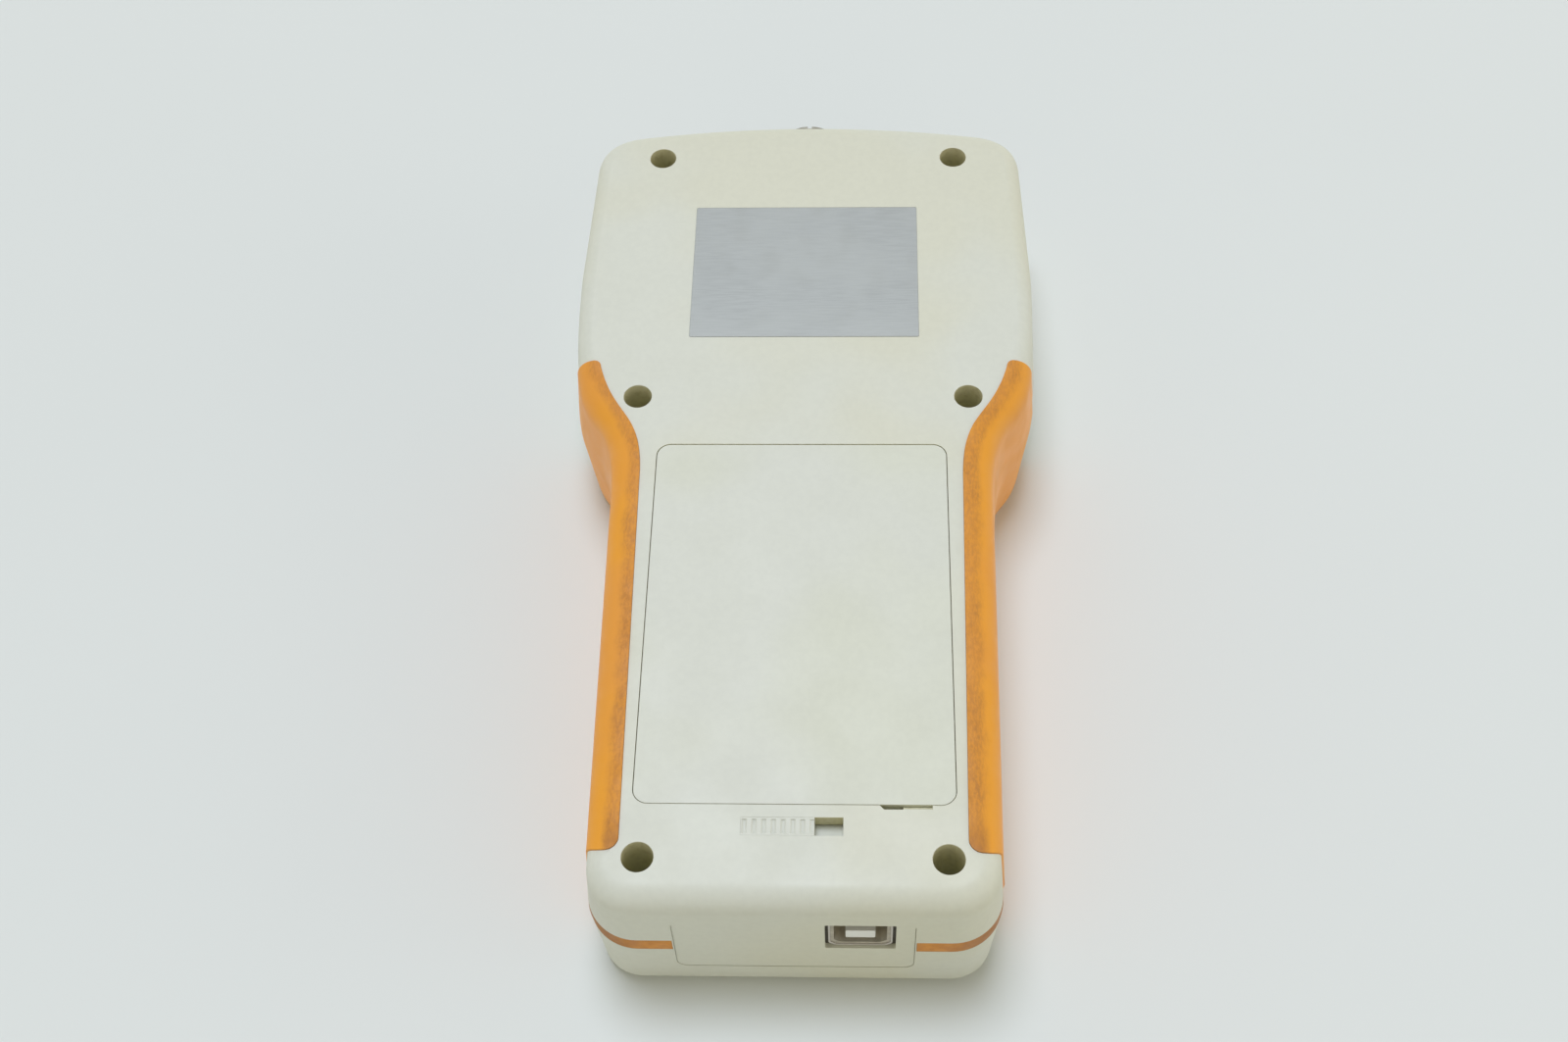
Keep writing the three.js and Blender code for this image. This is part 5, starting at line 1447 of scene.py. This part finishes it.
def socket_nut():
    low, high = TOP_FACE, TOP_FACE + NUT_HEIGHT
    turns = np.arange(6) * math.pi / 3
    corners = np.column_stack([NUT_RADIUS * np.cos(turns), PARTING + NUT_RADIUS * np.sin(turns)])
    nut = along_y("socket_hex_nut", corners, low, high)
    dome = [
        (0.0, low - 1), (NUT_RADIUS + 0.3, low - 1), (NUT_RADIUS + 0.3, high - 0.5),
        (NUT_RADIUS - 1, high), (0.0, high),
    ]
    carve(nut, "INTERSECT", [turned_y("dome", dome, PARTING)])
    bore = [
        (0.0, low - 2), (SOCKET_RADIUS + 0.08, low - 2), (SOCKET_RADIUS + 0.08, high - 0.3),
        (SOCKET_RADIUS + 0.5, high + 0.1), (0.0, high + 0.1),
    ]
    carve(nut, "DIFFERENCE", [turned_y("bore", bore, PARTING, 96)])
    return neat(nut, (0.12, lambda a, b: True), angle=30)


INSULATOR_Y = SHOULDER_Y - TAIL - 2


def socket_insulator():
    low, bore = INSULATOR_Y, PIN_RADIUS + SEAM
    profile = [
        (bore, low), (TAIL_RADIUS, low), (TAIL_RADIUS, low + 2), (5.6, low + 2),
        (5.6, MOUTH - 0.2), (5.4, MOUTH), (4.6, MOUTH), (4.4, MOUTH - 0.35),
        (3.9, MOUTH - 0.35), (3.7, MOUTH), (bore + 0.05, MOUTH), (bore, MOUTH - 0.05),
    ]
    return smooth(turned_y("socket_insulator_ring", profile, PARTING), 30, False)


def socket_contact():
    low = INSULATOR_Y
    profile = [
        (0.0, low - 4), (PIN_RADIUS, low - 4), (PIN_TAIL, low - 3.7), (PIN_TAIL, low),
        (PIN_RADIUS, low), (PIN_RADIUS, MOUTH - 0.2), (2.7, MOUTH), (2.25, MOUTH),
        (PIN_BORE, MOUTH - 0.2), (PIN_BORE, low + 4), (0.0, low + 4),
    ]
    contact = turned_y("socket_middle_contact", profile, PARTING, 48)
    carve(contact, "DIFFERENCE", crossed("slit", 0.25, 5, MOUTH - 6, MOUTH + 1))
    return neat(contact, angle=30, weighted=False)


fit(socket_barrel(), "case", "socket_plating", NICKEL, "uhf_barrel")
fit(socket_nut(), "case", "socket_plating", NICKEL, "uhf_nut")
fit(socket_insulator(), "case", "socket_insulator", WHITE, "uhf_insulator")
fit(socket_contact(), "case", "contact_brass", BRASS, "uhf_contact")


# Display and overlay
def printed_line(outer, inner):
    """A thin printed frame on the overlay, between two outlines of equal count."""
    low, high = FILM_FACE - SLACK, FILM_FACE + 0.05
    made = prism("line", outer, low, high)
    carve(made, "DIFFERENCE", [prism("inside", inner, low - 1, high + 1)])
    clean(made)
    return made


def front_overlay():
    film = prism("front_film", inset(OUTLINE, front_rim() + FILM_SEAM), FILM_FACE, RECESS)
    tools = [prism("hole", key_ring(place, FILM_GAP), -1.0, 3.0) for _, _, _, place in key_places()]
    tools.append(prism("window", window_ring(LENS_RIM + FILM_SEAM), -1.0, 3.0))
    carve(film, "DIFFERENCE", tools)
    dress(neat(film), FILM)
    half_length = (KEY_ROWS - 1) * KEY_PITCH[1] / 2
    middle = (0.0, KEY_LOW + half_length)
    half = (KEY_PITCH[0] + KEY_HALF[0] + 2.2, half_length + KEY_HALF[1] + 2.6)
    return join(film, [
        printed_line(window_ring(WINDOW_LINE + LINE_WIDTH, 2.5), window_ring(WINDOW_LINE, 2.5)),
        printed_line(rounded(middle, half, 3.0), rounded(middle, half, 2.6, grow=-LINE_WIDTH)),
    ], PALE_PRINT)


def display_window():
    lens = prism("display_window", window_ring(LENS_RIM), FILM_FACE, FILM_FACE + LENS_THICKNESS)
    return neat(lens, (LENS_ROUNDING, lambda a, b: max(a[2], b[2]) < FILM_FACE + NEAR))


carry(front_overlay(), "case", "overlay_film", "front_overlay")
fit(display_window(), "case", "window_clear", CLEAR, "display_lens")
screen = smooth(prism("display_glass", window_ring(-SEAM, 0.6), *SCREEN))
fit(screen, "case", "display_dark", GLASS)


# Keys
def sign_from_text(text, size):
    """A flat sign, its middle at the origin, as points and faces in millimetres."""
    data = bpy.data.curves.new("sign", "FONT")
    data.body = text
    data.size = size
    data.extrude = SIGN_HALF_DEPTH
    data.align_x = "CENTER"
    made = bpy.data.objects.new("sign", data)
    bpy.context.scene.collection.objects.link(made)
    view = bpy.context.evaluated_depsgraph_get()
    mesh = bpy.data.meshes.new_from_object(made.evaluated_get(view))
    points = np.array([tuple(v.co) for v in mesh.vertices])
    points[:, 1] -= (points[:, 1].max() + points[:, 1].min()) / 2
    points[:, 0] -= (points[:, 0].max() + points[:, 0].min()) / 2
    faces = [tuple(f.vertices) for f in mesh.polygons]
    bpy.data.objects.remove(made)
    return points, faces


def drawn_sign(outline):
    count = len(outline)
    outline = np.asarray(outline, dtype=float)
    low, high = at_height(outline, -SIGN_HALF_DEPTH), at_height(outline, SIGN_HALF_DEPTH)
    faces = [tuple(range(count))[::-1], tuple(range(count, 2 * count))]
    faces += [(i, (i + 1) % count, count + (i + 1) % count, count + i) for i in range(count)]
    return np.concatenate([low, high]), faces


def arrow(turn):
    corners = np.array([(1.7, 0.0), (-1.1, 1.5), (-1.1, -1.5)])
    c, s = math.cos(turn), math.sin(turn)
    return drawn_sign(corners @ np.array([(c, s), (-s, c)]))


def ring_sign(full):
    """A plain ring, or one that is open at the top with a bar in its gap."""
    points, faces = [], []
    steps, deep = 24, SIGN_HALF_DEPTH
    start, sweep = (0.0, 2 * math.pi) if full else (math.radians(125), math.radians(290))
    turns = [start + sweep * i / steps for i in range(steps + (0 if full else 1))]
    for turn in turns:
        for radius, z in ((1.25, -deep), (1.65, -deep), (1.65, deep), (1.25, deep)):
            points.append((radius * math.cos(turn), radius * math.sin(turn), z))
    count = len(turns)
    for i in range(count if full else count - 1):
        a, b = 4 * i, 4 * ((i + 1) % count)
        faces += [(a + k, b + k, b + (k + 1) % 4, a + (k + 1) % 4) for k in range(4)]
    if not full:
        faces += [(0, 1, 2, 3), (4 * count - 1, 4 * count - 2, 4 * count - 3, 4 * count - 4)]
        bar, more = drawn_sign([(-0.2, 0.3), (0.2, 0.3), (0.2, 2.0), (-0.2, 2.0)])
        faces += [tuple(len(points) + i for i in face) for face in more]
        points += [tuple(p) for p in bar]
    return np.array(points), faces


KEY_SIGNS = (
    (ring_sign(False), arrow(math.pi / 2), ring_sign(True)),
    (arrow(math.pi), arrow(-math.pi / 2), arrow(0.0)),
    ("1", "2", "3"), ("4", "5", "6"), ("7", "8", "9"), (".", "0", "+"),
)


def keycap(name, place, sign):
    face, crown = KEY_FACE, KEY_CROWN
    levels = [(-2.0, face + 0.16), (-1.4, face + 0.1)]
    for turn in np.arange(5) * math.pi / 8:
        levels.append((-crown * (1 - math.sin(turn)), face + crown * (1 - math.cos(turn))))
    levels += [(0.0, KEY_ROOT), (KEY_FLANGE, KEY_ROOT), (KEY_FLANGE, KEY_FLANGE_TOP)]
    rings = [at_height(key_ring(place, grow), z) for grow, z in levels]
    stem = rounded(place, (STEM_HALF, STEM_HALF), STEM_CORNER, 6)
    rings += [at_height(stem, KEY_FLANGE_TOP), at_height(stem, STEM_TOP)]
    cap = loft(name, rings)
    smooth(dress(cap, KEYCAP))
    points, faces = sign_from_text(sign, SIGN_SIZE) if isinstance(sign, str) else sign
    placed = points * (-1, 1, -1) + (place[0], place[1], face + SIGN_Z)
    drawn = solid_from("sign", placed, faces)
    clean(drawn)
    return join(cap, [drawn], LEGEND)


for i, row, column, place in key_places():
    key = "key_%02d" % (i + 1)
    cap = keycap("keycap_%02d" % (i + 1), place, KEY_SIGNS[row][KEY_COLUMNS - 1 - column])
    carry(cap, key, "key_plastic", key)


# Battery cells and springs
CELL_X = (-15.55, 0.0, 15.55)
CELL_Z, CELL_RADIUS = 27.25, 7.25
CELL_LOW, CELL_HIGH, CELL_TURN = 36.5, 86.0, 123.5  # the middle cell lies the other way round
CELL_BAND = CELL_HIGH - 12
SPRING_Y = (30.65, 92.85)
COPPER = plain_finish("cell_end_band", linear(196, 138, 92), 0.32, 0.6, 9.0)


def battery_cells():
    low, high, radius = CELL_LOW, CELL_HIGH, CELL_RADIUS
    can = [
        (0.0, low + 0.3), (4.5, low + 0.3), (4.8, low), (6.6, low), (7.05, low + 0.45),
        (7.05, high - 0.5), (6.6, high), (3.4, high), (2.9, high - 0.1), (2.75, high + 0.6),
        (2.4, high + 1), (0.0, high + 1),
    ]
    sleeve = [(7.0, low + 0.35), (radius, low + 0.7), (radius, CELL_BAND), (7.0, CELL_BAND)]
    band_low = CELL_BAND + 0.05
    band = [(7.0, band_low), (radius, band_low), (radius, high - 0.8), (6.9, high - 0.35)]
    cells = dress(solid_from("battery_cells", np.empty((0, 3)), []), STEEL)
    for i, x in enumerate(CELL_X):
        for profile, material in ((can, STEEL), (sleeve, SLEEVE), (band, COPPER)):
            if i % 2:
                profile = [(r, CELL_TURN - y) for r, y in profile]
            join(cells, [turned_y("cell", profile, CELL_Z, 72, x)], material)
    return smooth(cells, 30, False)


carry(battery_cells(), "case", "black_plastic", *numbered("battery_cell_%d", 3))


def spring_steps():
    """A conical wire spring that rises from its place."""
    made = Steps(
        "conical_spring", wire_radius=0.35, foot_radius=4.5, tip_radius=2.4, rise=5.2,
        turns_times_two=7,
    )
    size = made.size
    path = made.add(
        "CurveSpiral", Resolution=40, Rotations=made.times(size("turns_times_two"), 0.5),
        Start_Radius=size("foot_radius"), End_Radius=size("tip_radius"), Height=size("rise"),
    )
    wire = size("wire_radius")
    ring = made.add("CurvePrimitiveCircle", {"mode": "RADIUS"}, Resolution=12, Radius=wire)
    made.end(made.add("CurveToMesh", Curve=path, Profile_Curve=ring, Fill_Caps=True), STEEL)
    return made


places = [(x, SPRING_Y[i % 2], CELL_Z) for i, x in enumerate(CELL_X)]
turns = [(math.pi / 2 * (1 if i % 2 else -1), 0, 0) for i in range(len(CELL_X))]
springs = spring_steps().grow("battery_springs", places, turns)
smooth(springs, 60, False)
carry(springs, "case", "plain_steel", *numbered("battery_spring_%d", 3))

# What stays as the frame has it gets its finish
KEPT = (
    (DARK, "lcd_module buzzer"), (WHITE, "dome_sheet"), (BOARD, "main_board usb_board"),
    (TIN, "shield_can"), (BRASS, "rf_link"), (STEEL, "board_screw_1 board_screw_2 board_screw_3"),
    (STEEL, "battery_plate_1 battery_plate_2 battery_plate_3"),
)
for material, nodes in KEPT:
    for node in nodes.split():
        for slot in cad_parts[node].material_slots:
            slot.material = material


# Floor and light
HORIZON, ZENITH = (0.96, 0.905, 0.72, 1.0), (0.18, 0.185, 0.19, 1.0)
BACKDROP = (0.68, 0.71, 0.69, 1.0)
FLOOR_SIZE = 12.0
CEILING, CEILING_LIGHT, CEILING_COLOUR = (-0.1, 0.3, 1.28), 2.0, (0.79, 0.86, 1.0)
WINDOW, WINDOW_LIGHT, WINDOW_COLOUR = (1.5, -0.1, 0.45), 2.2, (1.0, 0.93, 0.82)


def room():
    """Light from all round, warm and strong near the horizon, and a plain pale background."""
    world = bpy.data.worlds.new("soft_room")
    world.use_nodes = True
    tree = world.node_tree
    new, join_up = tree.nodes.new, tree.links.new
    height = new("ShaderNodeSeparateXYZ")
    join_up(new("ShaderNodeTexCoord").outputs["Generated"], height.inputs["Vector"])
    sky, seen = new("ShaderNodeMix"), new("ShaderNodeMix")
    sky.data_type = seen.data_type = "RGBA"
    join_up(height.outputs["Z"], sky.inputs[0])
    sky.inputs[6].default_value = HORIZON
    sky.inputs[7].default_value = ZENITH
    rays = new("ShaderNodeLightPath").outputs
    share = rays["Is Camera Ray"]
    for kind in ("Is Glossy Ray", "Is Transmission Ray"):
        either = new("ShaderNodeMath")
        either.operation = "MAXIMUM"
        join_up(share, either.inputs[0])
        join_up(rays[kind], either.inputs[1])
        share = either.outputs[0]
    join_up(share, seen.inputs[0])
    join_up(sky.outputs[2], seen.inputs[6])
    seen.inputs[7].default_value = BACKDROP
    join_up(seen.outputs[2], tree.nodes["Background"].inputs["Color"])
    bpy.context.scene.world = world


def lamp(name, kind, place, energy, colour, **settings):
    """A lamp that shines from its place, in metres, on the middle of the case."""
    data = bpy.data.lights.new(name, kind)
    data.energy, data.color = energy, colour
    for key, value in settings.items():
        setattr(data, key, value)
    holder = bpy.data.objects.new(name, data)
    holder.location = place
    holder.rotation_euler = (-Vector(place)).to_track_quat("-Z", "Y").to_euler()
    bpy.context.scene.collection.objects.link(holder)


def stage():
    bpy.ops.mesh.primitive_plane_add(size=FLOOR_SIZE, location=(0, 0, 0))
    floor = bpy.context.object
    floor.name = "floor"
    made = Finish("pale_table", Roughness=0.7)
    made.colour(made.mix(made.noise(160, 3), linear(222, 225, 221), linear(219, 222, 218)))
    dress(floor, made.material)
    room()
    lamp("ceiling", "SUN", CEILING, CEILING_LIGHT, CEILING_COLOUR, angle=math.radians(26))
    lamp("side_window", "AREA", WINDOW, WINDOW_LIGHT, WINDOW_COLOUR, size=0.8)
    bpy.context.scene.view_settings.view_transform = "Standard"


stage()
